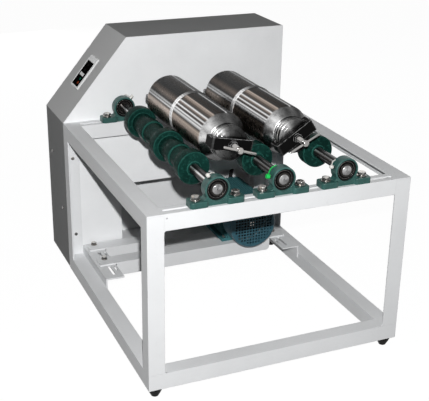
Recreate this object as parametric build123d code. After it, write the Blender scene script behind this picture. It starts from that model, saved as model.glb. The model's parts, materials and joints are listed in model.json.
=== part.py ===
from build123d import *
import math
import os

# Bench jar mill: two steel jars lie on three rubber rollers, driven by belts from a motor.
# Millimetres. +X is the right side, +Y the back (the cabinet), +Z up.
# The origin is on the floor under the middle of the whole machine.

# Overall sizes of the frame and the cabinet
width = 668.0
frame_depth = 694.0
frame_height = 440.0
cabinet_depth = 190.0
cabinet_height = 666.0
chamfer_width = 187.0
foot_height = 26.0

# Frame sections. The front opening has weld fillets in its corners.
rail_size = 40.0
rail_wall = 4.0
tube_wall = 2.0
weld_radius = 6.0
slot_width = 10.0
slot_inset = 42.0
rear_slot_from_panel = 22.0
drain_hole_radius = 2.0
drain_hole_from_left = 46.5
drain_hole_below_top = 11.0

# Rubber feet and their studs
foot_radius = 18.0
foot_tip_radius = 9.0
foot_taper = 3.0
foot_taper_share = 0.45
foot_band_share = 0.72
foot_inset = 22.0
stud_radius = 4.0
stud_grip = 12.0
stud_nut_across = 13.0
bolt_clearance = 0.4
nut_height = 6.5
clear_gap = 0.3

# Motor rails and the two cross members that carry the motor, measured forward from the panel
bracket_from_panel = 2.0
bracket_length = 233.0
bracket_drop = 38.0
bracket_top = 64.0
bracket_reach = 52.0
bracket_slot_width = 8.4
bracket_slot_inset = 30.0
bracket_slots = [(216.0, 160.0), (128.0, 60.0), (38.0, 8.0)]
short_slot_inset = 45.0
short_slot_width = 6.0
short_slots = [(194.0, 172.0), (94.0, 72.0)]
member_width = 46.0
member_drop = 36.0
member_corner = 12.0
member_end_inset = 8.0
member_web_inset = 56.0
front_member_from_panel = 156.0
rear_member_from_panel = 53.0
member_bolt_at = 36.0
member_bolt_head = 5.5
member_washer_radius = 8.5

# Sheet-metal cabinet
sheet = 1.5
bend_radius = 3.0
panel_lip = 62.0
panel_cut_left = 162.0
panel_cut_right = 78.0
panel_cut_bottom = 44.0
panel_cut_top = 237.6
shaft_hole_radius = 17.0
vent_count = 9
vent_length = 120.0
vent_width = 5.0
vent_pitch = 14.0
vent_centre = 430.0
screw_radius = 2.5
screw_head_radius = 4.6
screw_head_height = 2.6
screw_dome = 1.5
side_screws = [(47.0, 171.0), (140.0, 314.0)]
leg_screw_heights = [104.0, 336.0]
leg_screw_inset = 21.7

# Mains inlet on the back cover
inlet_width = 30.0
inlet_height = 24.0
inlet_flange = 2.0
inlet_flange_margin = 10.0
inlet_body_depth = 26.0
inlet_recess = 16.0
inlet_wall = 3.0
inlet_pin_width = 2.0
inlet_pin_height = 4.0
inlet_pin_spacing = 7.0
inlet_pin_step = 2.0
inlet_pin_depth = 4.0
inlet_from_left = 80.0
inlet_above_bottom = 70.0

# Controller on the sloping face, measured along the slope and back from the panel
bezel_length = 104.0
bezel_width = 68.2
bezel_height = 4.5
bezel_rim = 6.0
bezel_head = 18.0
bezel_start = 95.0
bezel_from_panel = 58.5
bezel_corner = 3.0
bezel_edge = 1.2
controller_depth = 42.0
face_thickness = 2.0
face_recess = 1.0
display_size = (9.0, 30.0)
display_at = (137.7, 95.6)
display_thickness = 1.2
display_proud = 0.6
key_radius = 4.2
key_height = 3.2
key_travel = 1.0
key_proud = 0.4
key_edge = 0.8
key_gap = 0.3
key_places = {
    "start_key": (124.6, 85.0),
    "stop_key": (112.0, 83.0),
    "up_key": (169.0, 97.0),
    "down_key": (152.0, 97.0),
}

# Bearing blocks (25 mm shaft, 52 mm bearing)
shaft_radius = 12.5
block_length = 131.0
block_width = 38.0
block_foot = 14.0
block_wing = 44.0
block_corner = 9.0
block_top_edge = 1.5
block_centre_height = 36.5
block_head_radius = 30.0
block_head_thickness = 26.0
block_neck = 26.0
block_neck_thickness = 23.0
block_blend = 8.0
block_bolt_spacing = 96.0
block_slot_width = 13.0
block_slot_length = 17.0
front_block_from_front = 20.0
bearing_radius = 26.0
bearing_width = 17.0
race_radius = 21.5
seal_radius = 24.6
seal_thickness = 2.0
seal_depth = 1.0
inner_ring_radius = 17.0
inner_ring_front = 11.5
inner_ring_back = 19.8
inner_ring_edge = 1.0
running_gap = 0.05
set_screw_radius = 2.5
set_screw_depth = 1.5
set_screw_angle = 30.0
block_bolt_radius = 5.0
block_bolt_across = 18.0
block_bolt_head_height = 8.0
washer_radius = 11.5
washer_thickness = 2.0

# Grease nipples, by their angle from upright to the right, and the cap on the middle front one
front_nipple_angles = {"left": -31.0, "middle": -76.0, "right": -74.0}
rear_nipple_angle = 42.0
nipple_length = 9.0
nipple_stem_radius = 2.2
nipple_hex_across = 8.0
nipple_hex_height = 3.0
nipple_head_radius = 3.2
nipple_head_height = 3.0
nipple_tip = 1.0
cap_radius = 5.4
cap_bore = 3.5
cap_top = 1.8
cap_edge = 1.5

# Rollers: one moulded sleeve on a steel shaft, with three large rings and two small ones
roller_pitch = 163.0
roller_offset = -3.0
shaft_front = 7.5
shaft_in_cabinet = 98.0
shaft_chamfer = 1.0
sleeve_neck_radius = 28.0
sleeve_front = 147.0
sleeve_length = 398.0
ring_radius = 40.0
ring_width = 33.0
ring_places = [147.0, 312.0, 512.0]
small_ring_radius = 31.0
small_ring_width = 35.0
small_ring_places = [235.0, 425.0]
ring_edge = 3.0
sleeve_lip_radius = 17.0
sleeve_lip_height = 2.0

# Jars and their lids, measured back from the face of the lid
jar_radius = 60.0
jar_wall = 3.0
jar_length = 409.0
jar_gap = 0.3
jar_inner_step = 1.0
jar_fronts = {"left": 124.0, "right": 118.0}
lid_radius = 41.5
lid_thickness = 10.0
lid_edge = 1.0
lid_groove_radius = 31.0
lid_groove_width = 1.2
lid_groove_depth = 0.8
lid_plug_depth = 5.0
gasket_thickness = 1.5
gasket_inset = 0.5
mouth_radius = 34.0
plug_clearance = 0.4
flange_radius = 42.0
flange_thickness = 8.0
neck_radius = 38.0
neck_length = 8.0
cone_radius = 43.0
cone_length = 26.0
seam_at = 226.0
seam_width = 15.0
seam_height = 1.2
jar_bottom_edge = 6.0

# Lid clamp: a bar with two hooked arms, and a screw with a cross handle
clamp_angles = {"left": -11.0, "right": 33.0}
handle_angles = {"left": -18.0, "right": 27.0}
clamp_half_length = 52.0
clamp_width = 30.0
clamp_thickness = 10.0
clamp_lid_gap = 2.0
arm_thickness = 8.5
arm_width = 24.0
hook_depth = 4.0
hook_thickness = 6.0
clamp_end_radius = 4.0
clamp_nut_across = 19.0
clamp_nut_height = 8.0
screw_thread_radius = 6.0
handle_from_lid = 52.0
handle_radius = 3.0
handle_length = 85.0
handle_end_radius = 1.8
handle_hub_radius = 8.0
handle_hub_length = 14.0

# Motor: foot mounted with a 71 mm shaft height, its shaft pointing into the cabinet.
# Places are measured forward from the panel and inwards from the machine's right side.
motor_from_right = 174.0
motor_shaft_height = 71.0
motor_foot_width = 112.0
motor_foot_pitch = 100.0
motor_front_bolt_from_panel = 124.0
motor_bolt_to_shoulder = 50.0
motor_core_radius = 58.0
motor_half_size = 69.0
motor_corner = 39.0
fin_pitch = 7.0
fin_width = 2.4
stator_from_panel = 139.0
stator_length = 150.0
shield_thickness = 10.0
shield_radius = 66.0
shield_rim = 6.0
shield_step = 8.0
shield_dish = 3.0
shield_hub_radius = 26.0
motor_foot_thickness = 9.0
motor_foot_outer = 68.0
motor_foot_inner = 34.0
motor_foot_web = 12.0
motor_foot_root = 14.0
motor_foot_web_top = 29.0
motor_foot_overhang = 11.0
motor_bolt_radius = 3.0
motor_bolt_across = 10.0
motor_bolt_head = 4.5
motor_washer_radius = 6.5
spot_face_radius = 7.5
spot_face_height = 12.0
cowl_radius = 70.0
cowl_wall = 1.5
cowl_from_panel = 206.0
cowl_overlap = 5.0
cowl_edge = 7.0
grille_pitch = 9.0
grille_hole = 6.0
grille_radius = 58.5
rotor_gap = 0.5
rotor_inset = 8.0
shaft_behind_cowl = 12.0
fan_gap = 6.0
fan_radius = 58.0
fan_hub_radius = 14.0
fan_blade_sunk = 2.0
fan_blades = 7
fan_blade_width = 3.0
fan_blade_length = 26.0
fan_plate = 3.0
motor_shaft_radius = 7.0
motor_shaft_out = 30.0
box_size = (44.0, 84.0, 62.0)
box_lid = 8.0
box_lid_overhang = 1.0
box_corner = 4.0

# Belt drive inside the cabinet
belt_top_width = 12.7
belt_height = 8.0
belt_taper_deg = 17.0
belt_below_rim = 1.0
groove_clearance = 0.3
groove_bottom_gap = 1.3
pulley_face = 16.0
motor_belt_from_panel = 42.0
belt_plane_pitch = 21.0
motor_pulley_radius = 32.0
drive_pulley_radius = 78.0
roller_pulley_radius = 46.0
pulley_hub_radius = 22.0
pulley_web = 7.0
pulley_rim = 16.0

# Worked-out places
total_depth = frame_depth + cabinet_depth + inlet_flange
half = width / 2
y_front = -total_depth / 2
y_panel = y_front + frame_depth
y_back = y_panel + cabinet_depth
z_base = foot_height
z_rails = z_base + rail_size
z_top = z_base + frame_height
z_shaft = z_top + block_centre_height
front_block_y = y_front + front_block_from_front
rear_block_y = y_panel - rear_slot_from_panel
roller_x = {
    "left": roller_offset - roller_pitch,
    "middle": roller_offset,
    "right": roller_offset + roller_pitch,
}
jar_x = {"left": roller_offset - roller_pitch / 2, "right": roller_offset + roller_pitch / 2}
jar_reach = jar_radius + ring_radius + jar_gap
z_jar = z_shaft + math.sqrt(jar_reach**2 - (roller_pitch / 2) ** 2)
z_motor_seat = z_base + bracket_top + rail_wall
z_motor = z_motor_seat + motor_shaft_height
motor_x = half - motor_from_right
motor_bolts_y = [
    y_panel - motor_front_bolt_from_panel,
    y_panel - motor_front_bolt_from_panel + motor_foot_pitch,
]
motor_shoulder_y = motor_bolts_y[1] + motor_bolt_to_shoulder
y_cowl = y_panel - cowl_from_panel
y_stator = y_panel - stator_from_panel
y_stator_end = y_stator + stator_length
belt_planes = [y_panel + motor_belt_from_panel + k * belt_plane_pitch for k in range(3)]
slope_length = math.hypot(chamfer_width, cabinet_height - frame_height)
slope_plane = Plane(
    origin=(-half, y_panel, z_top),
    x_dir=(chamfer_width, 0, cabinet_height - frame_height),
    z_dir=(-(cabinet_height - frame_height), 0, chamfer_width),
)


def block(x_pair, y_pair, z_pair):
    """A rectangular block between two values on each axis, given in any order."""
    sizes = [abs(b - a) for a, b in (x_pair, y_pair, z_pair)]
    centre = [(a + b) / 2 for a, b in (x_pair, y_pair, z_pair)]
    return Pos(*centre) * Box(*sizes)


def rod(x, z, y_from, y_to, radius):
    """A round bar along Y."""
    plane = Plane(origin=(x, y_from, z), x_dir=(1, 0, 0), z_dir=(0, 1, 0))
    return plane * Cylinder(radius, y_to - y_from, align=(Align.CENTER, Align.CENTER, Align.MIN))


def post(x, y, z_from, z_to, radius):
    """A round bar along Z."""
    return Pos(x, y, z_from) * Cylinder(radius, z_to - z_from, align=(Align.CENTER, Align.CENTER, Align.MIN))


def turned(points, x=0.0, y=0.0, z=0.0):
    """A solid of revolution about Y from (radius, distance) points."""
    return Pos(x, y, z) * revolve(make_face(Polyline(*points, close=True)), Axis.Y)


def hex_prism(across, height):
    """A hexagonal prism standing on the local plane."""
    return extrude(RegularPolygon(across / 2, 6, major_radius=False), height)


def bolt(x, y, z_seat, grip, radius, across, head_height, washer):
    """Hex bolt standing on z_seat with its washer, its shank through the grip and a nut below."""
    head = Pos(x, y, z_seat + washer_thickness) * hex_prism(across, head_height)
    disc = post(x, y, z_seat, z_seat + washer_thickness, washer)
    shank = post(x, y, z_seat - grip - nut_height, z_seat, radius)
    nut = Pos(x, y, z_seat - grip - nut_height) * hex_prism(across, nut_height)
    return head + disc + shank + nut


def angle_leg(side, y_face, inward):
    """Angle-iron leg with its corner outside, standing on the base ring."""
    x_face = side * half
    heights = (z_rails, z_top - rail_wall)
    face = block((x_face, x_face - side * rail_size), (y_face, y_face + inward * rail_wall), heights)
    flank = block((x_face, x_face - side * rail_wall), (y_face, y_face + inward * rail_size), heights)
    return face + flank


def weld_fillets(side):
    """Concave fillets in the front opening's corners beside one leg."""
    x = side * (half - rail_size)
    run = (y_front, y_front + rail_wall)
    pieces = []
    for z, upward in ((z_rails, 1), (z_top - rail_size, -1)):
        x_centre, z_centre = x - side * weld_radius, z + upward * weld_radius
        corner = block((x, x_centre), run, (z, z_centre))
        pieces.append(corner - rod(x_centre, z_centre, *run, weld_radius))
    return pieces


def legs():
    """Four legs. The rear ones have holes for the screws that hold the cabinet."""
    four = []
    for side in (-1, 1):
        front = angle_leg(side, y_front, 1)
        for piece in weld_fillets(side):
            front += piece
        four.append(front)
        rear = angle_leg(side, y_panel, -1)
        for height in leg_screw_heights:
            x = side * (half - leg_screw_inset)
            hole = rod(x, z_base + height, y_panel - rail_size, y_panel, screw_radius + bolt_clearance)
            rear -= hole
        four.append(rear)
    return four


def long_slot(y):
    """Cutter for the long slot in a top rail that the block bolts slide along."""
    length = width - 2 * slot_inset
    return Pos(0, y, z_top - rail_wall) * extrude(SlotOverall(length, slot_width), rail_wall)


def top_rail_front():
    between = half - rail_size
    web = block((-between, between), (y_front, y_front + rail_wall), (z_top - rail_size, z_top - rail_wall))
    flange = block((-half, half), (y_front, y_front + rail_size), (z_top - rail_wall, z_top))
    hole_x = -half + drain_hole_from_left
    hole = rod(hole_x, z_top - drain_hole_below_top, y_front, y_front + rail_wall, drain_hole_radius)
    return web + flange - long_slot(front_block_y) - hole


def top_rail_rear():
    y_web = y_panel - rail_size
    inside = half - rail_wall
    web = block((-inside, inside), (y_web, y_web + rail_wall), (z_top - rail_size, z_top - rail_wall))
    flange = block((-half, half), (y_web, y_panel), (z_top - rail_wall, z_top))
    return web + flange - long_slot(rear_block_y)


def top_rail_side(side):
    run = (y_front + rail_size, y_panel - rail_size)
    web = block((side * half, side * (half - rail_wall)), run, (z_top - rail_size, z_top - rail_wall))
    flange = block((side * half, side * (half - rail_size)), run, (z_top - rail_wall, z_top))
    return web + flange


def ring_corners(inset):
    """Corners of the base ring's outline, moved inwards, from the front left one round."""
    x, y_low, y_high = half - inset, y_front + inset, y_panel - inset
    return [(-x, y_low), (x, y_low), (x, y_high), (-x, y_high)]


def foot_places():
    return ring_corners(foot_inset)


def base_rail(k):
    """Square tube on side k of the base ring, with mitred ends, open inside."""

    def prism(inset_out, inset_in, z_low, z_high):
        out, inner = ring_corners(inset_out), ring_corners(inset_in)
        after = (k + 1) % 4
        outline = Polyline(out[k], out[after], inner[after], inner[k], close=True)
        return Pos(0, 0, z_low) * extrude(make_face(outline), z_high - z_low)

    tube = prism(0, rail_size, z_base, z_rails)
    tube -= prism(tube_wall, rail_size - tube_wall, z_base + tube_wall, z_rails - tube_wall)
    for x, y in foot_places():
        tube -= post(x, y, z_base, z_base + tube_wall, stud_radius + bolt_clearance)
    return tube


def rubber_feet():
    """Tapered rubber feet with a blind hole for the stud."""
    profile = Polyline(
        (0, 0), (foot_tip_radius, 0), (foot_radius - foot_taper, foot_height * foot_taper_share),
        (foot_radius, foot_height * foot_band_share), (foot_radius, foot_height), (0, foot_height),
        close=True,
    )
    foot = Rot(90, 0, 0) * revolve(make_face(profile), Axis.Y)
    foot -= post(0, 0, foot_height - stud_grip, foot_height, stud_radius)
    return [Pos(x, y, 0) * foot for x, y in foot_places()]


def frame_bolts():
    """Foot studs with their nuts, the cross-member bolts and the motor's foot bolts."""
    bolts = []
    for x, y in foot_places():
        stud = post(x, y, z_base - stud_grip, z_base + tube_wall + nut_height, stud_radius)
        nut = Pos(x, y, z_base + tube_wall) * hex_prism(stud_nut_across, nut_height)
        bolts.append(stud + nut)
    member_bolt = (stud_radius, stud_nut_across, member_bolt_head, member_washer_radius)
    for member in (front_member_from_panel, rear_member_from_panel):
        for side in (-1, 1):
            x = side * (half - rail_size - bracket_slot_inset)
            y = y_panel - member + member_bolt_at
            bolts.append(bolt(x, y, z_motor_seat, 2 * rail_wall, *member_bolt))
    motor_bolt = (motor_bolt_radius, motor_bolt_across, motor_bolt_head, motor_washer_radius)
    for y in motor_bolts_y:
        for side in (-1, 1):
            x = motor_x + side * motor_foot_width / 2
            z = z_motor_seat + motor_foot_thickness
            bolts.append(bolt(x, y, z, motor_foot_thickness + rail_wall, *motor_bolt))
    return bolts


def slot_cutter(x, distances, z_low, z_high, slot):
    """Round-ended slot along Y between two distances in front of the panel."""
    y_low, y_high = (y_panel - distance for distance in distances)
    outline = Rot(0, 0, 90) * SlotOverall(y_high - y_low, slot)
    return Pos(x, (y_low + y_high) / 2, z_low) * extrude(outline, z_high - z_low)


def motor_bracket(side):
    """Bent rail welded inside the base ring, slotted for the cross members."""
    x_wall = side * (half - rail_size)
    run = (y_panel - bracket_from_panel - bracket_length, y_panel - bracket_from_panel)
    z_high = z_base + bracket_top
    flank = block((x_wall, x_wall - side * rail_wall), run, (z_high - bracket_drop, z_high))
    shelf = block((x_wall, x_wall - side * bracket_reach), run, (z_high - rail_wall, z_high))
    bracket = flank + shelf
    bracket -= block((-half, half), (y_panel - rail_size - clear_gap, y_panel), (z_base, z_rails))
    for pair in bracket_slots:
        x = x_wall - side * bracket_slot_inset
        bracket -= slot_cutter(x, pair, z_high - rail_wall, z_high, bracket_slot_width)
    for pair in short_slots:
        x = x_wall - side * short_slot_inset
        bracket -= slot_cutter(x, pair, z_high - rail_wall, z_high, short_slot_width)
    return bracket


def cross_member(from_panel):
    """Angle across the motor rails, with its web hanging between them."""
    y = y_panel - from_panel
    z_high = z_motor_seat
    z_low = z_high - rail_wall
    x_end = half - rail_size - member_end_inset
    x_web = half - rail_size - member_web_inset
    top = block((-x_end, x_end), (y, y + member_width), (z_low, z_high))
    web = block((-x_web, x_web), (y, y + rail_wall), (z_low - member_drop, z_low))
    low_corners = web.edges().filter_by(Axis.Y).group_by(Axis.Z)[0]
    member = top + fillet(low_corners, member_corner)
    for side in (-1, 1):
        x = side * (half - rail_size - bracket_slot_inset)
        member -= post(x, y + member_bolt_at, z_low, z_high, stud_radius + bolt_clearance)
        for bolt_y in motor_bolts_y:
            x = motor_x + side * motor_foot_width / 2
            member -= post(x, bolt_y, z_low, z_high, motor_bolt_radius + bolt_clearance)
    return member


def cabinet_outline(inset, corner):
    """Front view of the cabinet as a face, moved inwards by inset, with rounded bends."""
    low, high = z_base + inset, z_base + cabinet_height - inset
    run = chamfer_width / slope_length
    rise = (cabinet_height - frame_height) / slope_length
    side_z = z_top - inset * (1 - run) / rise
    top_x = -half + chamfer_width + inset * (1 - rise) / run
    x = half - inset
    points = [(-x, low), (x, low), (x, high), (top_x, high), (-x, side_z)]
    face = make_face(Polyline(*points, close=True))
    return fillet(face.vertices(), corner)


def upright(face, y_from, y_to):
    """Extrude a front-view face from one Y to another."""
    plane = Plane(origin=(0, y_to, 0), x_dir=(1, 0, 0), z_dir=(0, -1, 0))
    return extrude(plane * face, y_to - y_from)


def side_screw_places():
    return [(y_panel + back, z_base + height) for back, height in side_screws]


def controller_opening(margin):
    """Cutter through the sloping face for the controller's body."""
    length = bezel_length - 2 * bezel_rim + 2 * margin
    across = bezel_width - 2 * bezel_rim + 2 * margin
    centre = (bezel_start + bezel_length / 2, bezel_from_panel + bezel_width / 2)
    return slope_plane * Pos(*centre, -controller_depth / 2) * Box(length, across, controller_depth)


def cabinet_shell():
    """Bent sheet round the cabinet: floor, sides, slope and top."""
    run = (y_panel + sheet, y_back - sheet)
    shell = upright(cabinet_outline(0, bend_radius), *run)
    shell -= upright(cabinet_outline(sheet, bend_radius - sheet), *run)
    shell -= controller_opening(clear_gap)
    for y, z in side_screw_places():
        for side in (-1, 1):
            hole = Cylinder(screw_radius + bolt_clearance, 4 * sheet)
            shell -= Pos(side * half, y, z) * Rot(0, 90, 0) * hole
    return shell


def lipped_panel(y_face, inward):
    """Panel with a lip folded inwards all round, which fits inside the shell."""
    y_inner = y_face + inward * sheet
    y_lip = y_face + inward * panel_lip
    plate = upright(cabinet_outline(0, bend_radius), *sorted((y_face, y_inner)))
    lip = upright(cabinet_outline(sheet, bend_radius - sheet), *sorted((y_inner, y_lip)))
    lip -= upright(cabinet_outline(2 * sheet, bend_radius - sheet), *sorted((y_inner, y_lip)))
    panel = plate + lip - controller_opening(clear_gap)
    for y, z in side_screw_places():
        for side in (-1, 1):
            panel -= Pos(side * half, y, z) * Rot(0, 90, 0) * Cylinder(screw_radius, 8 * sheet)
    return panel


def cabinet_front_panel():
    """Front of the cabinet with the shaft holes and the large cut-out behind the motor."""
    panel = lipped_panel(y_panel, 1)
    for x in roller_x.values():
        panel -= rod(x, z_shaft, y_panel, y_panel + sheet, shaft_hole_radius)
    panel -= block(
        (-half + panel_cut_left, half - panel_cut_right),
        (y_panel, y_panel + sheet),
        (z_base + panel_cut_bottom, z_base + panel_cut_top),
    )
    for side in (-1, 1):
        for height in leg_screw_heights:
            x = side * (half - leg_screw_inset)
            panel -= rod(x, z_base + height, y_panel, y_panel + sheet, screw_radius + bolt_clearance)
    return panel


def inlet_centre():
    return (-half + inlet_from_left, z_base + inlet_above_bottom)


def cabinet_back_cover():
    """Back cover with a stack of cooling slots and the hole for the mains inlet."""
    cover = lipped_panel(y_back, -1)
    vent = SlotOverall(vent_length, vent_width)
    for k in range(vent_count):
        z = z_base + vent_centre + (k - (vent_count - 1) / 2) * vent_pitch
        for side in (-1, 1):
            place = Plane(origin=(side * half / 2, y_back, z), x_dir=(1, 0, 0), z_dir=(0, -1, 0))
            cover -= extrude(place * vent, sheet)
    x, z = inlet_centre()
    cover -= block(
        (x - inlet_width / 2, x + inlet_width / 2), (y_back - sheet, y_back),
        (z - inlet_height / 2, z + inlet_height / 2),
    )
    return cover


def pan_screw(length):
    """Domed screw standing on the local plane with its shank below."""
    dome = Cylinder(screw_head_radius, screw_head_height, align=(Align.CENTER, Align.CENTER, Align.MIN))
    dome = fillet(dome.edges().sort_by(Axis.Z)[-1], screw_dome)
    shank = Cylinder(screw_radius, length, align=(Align.CENTER, Align.CENTER, Align.MAX))
    return dome + shank


def cabinet_screws():
    """Screws in the cabinet's sides and in the rear legs."""
    screws = []
    for y, z in side_screw_places():
        for side in (-1, 1):
            place = Plane(origin=(side * half, y, z), x_dir=(0, 1, 0), z_dir=(side, 0, 0))
            screws.append(place * pan_screw(4 * sheet))
    for side in (-1, 1):
        for height in leg_screw_heights:
            origin = (side * (half - leg_screw_inset), y_panel - rail_wall, z_base + height)
            place = Plane(origin=origin, x_dir=(1, 0, 0), z_dir=(0, -1, 0))
            screws.append(place * pan_screw(rail_wall + 4 * sheet))
    return screws


def power_inlet():
    """Recessed mains inlet with three contacts."""
    x, z = inlet_centre()
    wide, tall = inlet_width / 2, inlet_height / 2
    edge = inlet_flange_margin
    inlet = block((x - wide - edge, x + wide + edge), (y_back, y_back + inlet_flange), (z - tall, z + tall))
    inlet += block((x - wide, x + wide), (y_back - inlet_body_depth, y_back), (z - tall, z + tall))
    depth = (y_back + inlet_flange - inlet_recess, y_back + inlet_flange)
    wide, tall = wide - inlet_wall, tall - inlet_wall
    inlet -= block((x - wide, x + wide), depth, (z - tall, z + tall))
    for k in (-1, 0, 1):
        pin_x = x + k * inlet_pin_spacing
        pin_z = z + (inlet_pin_step if k == 0 else -inlet_pin_step)
        size = (inlet_pin_width / 2, inlet_pin_height / 2)
        reach = (depth[0], depth[1] - inlet_pin_depth)
        inlet += block((pin_x - size[0], pin_x + size[0]), reach, (pin_z - size[1], pin_z + size[1]))
    return inlet


def control_bezel():
    """Controller housing: a body behind the sloping face and a rimmed bezel in front."""
    centre = (bezel_start + bezel_length / 2, bezel_from_panel + bezel_width / 2)
    frame = Pos(*centre, bezel_height / 2) * Box(bezel_length, bezel_width, bezel_height)
    frame = fillet(frame.edges().filter_by(Axis.Z), bezel_corner)
    frame = chamfer(frame.faces().sort_by(Axis.Z)[-1].edges(), bezel_edge)
    body_size = (bezel_length - 2 * bezel_rim, bezel_width - 2 * bezel_rim)
    frame += Pos(*centre, -controller_depth / 2) * Box(*body_size, controller_depth)
    frame -= face_pocket()
    for place in key_places.values():
        frame -= Pos(*place, 0) * Cylinder(key_radius + key_gap, 2 * (key_travel + key_height))
    return slope_plane * frame


def face_size():
    return (bezel_length - bezel_rim - bezel_head, bezel_width - 2 * bezel_rim)


def face_centre():
    length, across = face_size()
    return (bezel_start + bezel_rim + length / 2, bezel_from_panel + bezel_rim + across / 2)


def face_pocket():
    """Pocket in the bezel, in the slope's own coordinates, that the black face lies in."""
    top = bezel_height
    bottom = bezel_height - face_recess - face_thickness
    return Pos(*face_centre(), (top + bottom) / 2) * Box(*face_size(), top - bottom)


def control_face():
    """Black face with holes for the keys and a seat for the display."""
    level = bezel_height - face_recess
    plate = Pos(*face_centre(), level - face_thickness / 2) * Box(*face_size(), face_thickness)
    for place in key_places.values():
        plate -= Pos(*place, level) * Cylinder(key_radius + key_gap, 4 * face_thickness)
    plate -= Pos(*display_at, level) * Box(*display_size, 2 * display_thickness)
    return slope_plane * plate


def control_display():
    """Display window set into the black face and standing slightly proud."""
    level = bezel_height - face_recess
    thickness = display_thickness + display_proud
    window = Pos(*display_at, level + display_proud - thickness / 2) * Box(*display_size, thickness)
    return slope_plane * window


def control_key(place):
    """Round key that stands above the black face and travels into the housing."""
    top = bezel_height - face_recess + key_travel + key_proud
    cap = Cylinder(key_radius, key_height, align=(Align.CENTER, Align.CENTER, Align.MAX))
    cap = fillet(cap.edges().sort_by(Axis.Z)[-1], key_edge)
    return slope_plane * Pos(*place, top) * cap


def block_side_view():
    """Front view of a block's narrow middle: the foot's length, a neck and a round head."""
    foot = Pos(0, block_foot / 2) * Rectangle(block_length - 2 * block_corner, block_foot)
    neck = Pos(0, block_centre_height / 2) * Rectangle(2 * block_neck, block_centre_height)
    outline = foot + neck
    blends = [
        corner for corner in outline.vertices()
        if math.isclose(abs(corner.X), block_neck) and math.isclose(corner.Y, block_foot)
    ]
    return fillet(blends, block_blend) + Pos(0, block_centre_height) * Circle(block_head_radius)


def pillow_block(x, y):
    """Cast bearing block: a round head on a neck that spreads into two slotted feet."""
    body = upright(block_side_view(), -block_neck_thickness / 2, block_neck_thickness / 2)
    deep = block_head_thickness / 2
    head_edge = deep - block_neck_thickness / 2
    head = rod(0, block_centre_height, -deep, deep, block_head_radius)
    body += chamfer(head.edges().filter_by(GeomType.CIRCLE), head_edge)
    end = block_length / 2
    for side in (-1, 1):
        run = (side * (end - block_wing), side * end)
        wing = block(run, (-block_width / 2, block_width / 2), (0, block_foot))
        wing = fillet(wing.edges().filter_by(Axis.Z), block_corner)
        body += fillet(wing.faces().sort_by(Axis.Z)[-1].edges(), block_top_edge)
    body -= rod(0, block_centre_height, -block_width, block_width, bearing_radius)
    for side in (-1, 1):
        place = Pos(side * block_bolt_spacing / 2, 0, 0)
        body -= place * extrude(SlotOverall(block_slot_length, block_slot_width), block_foot)
    return Pos(x, y, z_top) * body


def block_places():
    return [(x, y) for y in (front_block_y, rear_block_y) for x in roller_x.values()]


def bearing_rings(x, y):
    """Outer ring of a bearing and its two seals."""
    side = bearing_width / 2
    seat = side - seal_depth - seal_thickness
    half_profile = [(seal_radius, side), (seal_radius, seat), (race_radius, seat)]
    mirrored = [(radius, -at) for radius, at in reversed(half_profile)]
    ring = turned([(bearing_radius, -side), (bearing_radius, side), *half_profile, *mirrored])
    solids = [Pos(x, y, z_shaft) * ring]
    for end in (-1, 1):
        middle = end * (side - seal_depth - seal_thickness / 2)
        low, high = middle - seal_thickness / 2, middle + seal_thickness / 2
        bore = inner_ring_radius + running_gap
        seal = turned([(bore, low), (seal_radius, low), (seal_radius, high), (bore, high)])
        solids.append(Pos(x, y, z_shaft) * seal)
    return solids


def block_bolts():
    """Hex bolts that hold the blocks to the slotted rails."""
    bolts = []
    for x, y in block_places():
        for side in (-1, 1):
            bolt_x = x + side * block_bolt_spacing / 2
            seat = z_top + block_foot
            grip = block_foot + rail_wall
            sizes = (block_bolt_radius, block_bolt_across, block_bolt_head_height, washer_radius)
            bolts.append(bolt(bolt_x, y, seat, grip, *sizes))
    return bolts


def nipple_place(x, y, from_upright):
    """Plane on a block's head where the grease nipple screws in."""
    angle = math.radians(from_upright)
    outward = (math.sin(angle), 0, math.cos(angle))
    origin = (x + outward[0] * block_head_radius, y, z_shaft + outward[2] * block_head_radius)
    return Plane(origin=origin, x_dir=(0, 1, 0), z_dir=outward)


def grease_nipple():
    """Nipple with a hex foot, a waist and a round head, standing on the local plane."""
    base = (Align.CENTER, Align.CENTER, Align.MIN)
    stem = Cylinder(nipple_stem_radius, nipple_length, align=base)
    head_at = nipple_length - nipple_tip - nipple_head_height
    head = Pos(0, 0, head_at) * Cylinder(nipple_head_radius, nipple_head_height, align=base)
    return hex_prism(nipple_hex_across, nipple_hex_height) + stem + head


def grease_nipples():
    nipples = []
    for name, x in roller_x.items():
        nipples.append(nipple_place(x, front_block_y, front_nipple_angles[name]) * grease_nipple())
        nipples.append(nipple_place(x, rear_block_y, rear_nipple_angle) * grease_nipple())
    return nipples


def nipple_cap():
    """Soft plastic cap over the middle front nipple's head."""
    base = (Align.CENTER, Align.CENTER, Align.MIN)
    low = nipple_hex_height + clear_gap
    bore = nipple_length + clear_gap - low
    cap = Pos(0, 0, low) * Cylinder(cap_radius, bore + cap_top, align=base)
    cap = fillet(cap.edges().sort_by(Axis.Z)[-1], cap_edge)
    cap -= Pos(0, 0, low) * Cylinder(cap_bore, bore, align=base)
    return nipple_place(roller_x["middle"], front_block_y, front_nipple_angles["middle"]) * cap


def roller_shaft(name):
    """Polished shaft from the front block through the rear block into the cabinet."""
    start, end = y_front + shaft_front, y_panel + shaft_in_cabinet
    shaft = rod(roller_x[name], z_shaft, start, end, shaft_radius)
    return chamfer(shaft.edges().filter_by(GeomType.CIRCLE), shaft_chamfer)


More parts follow.
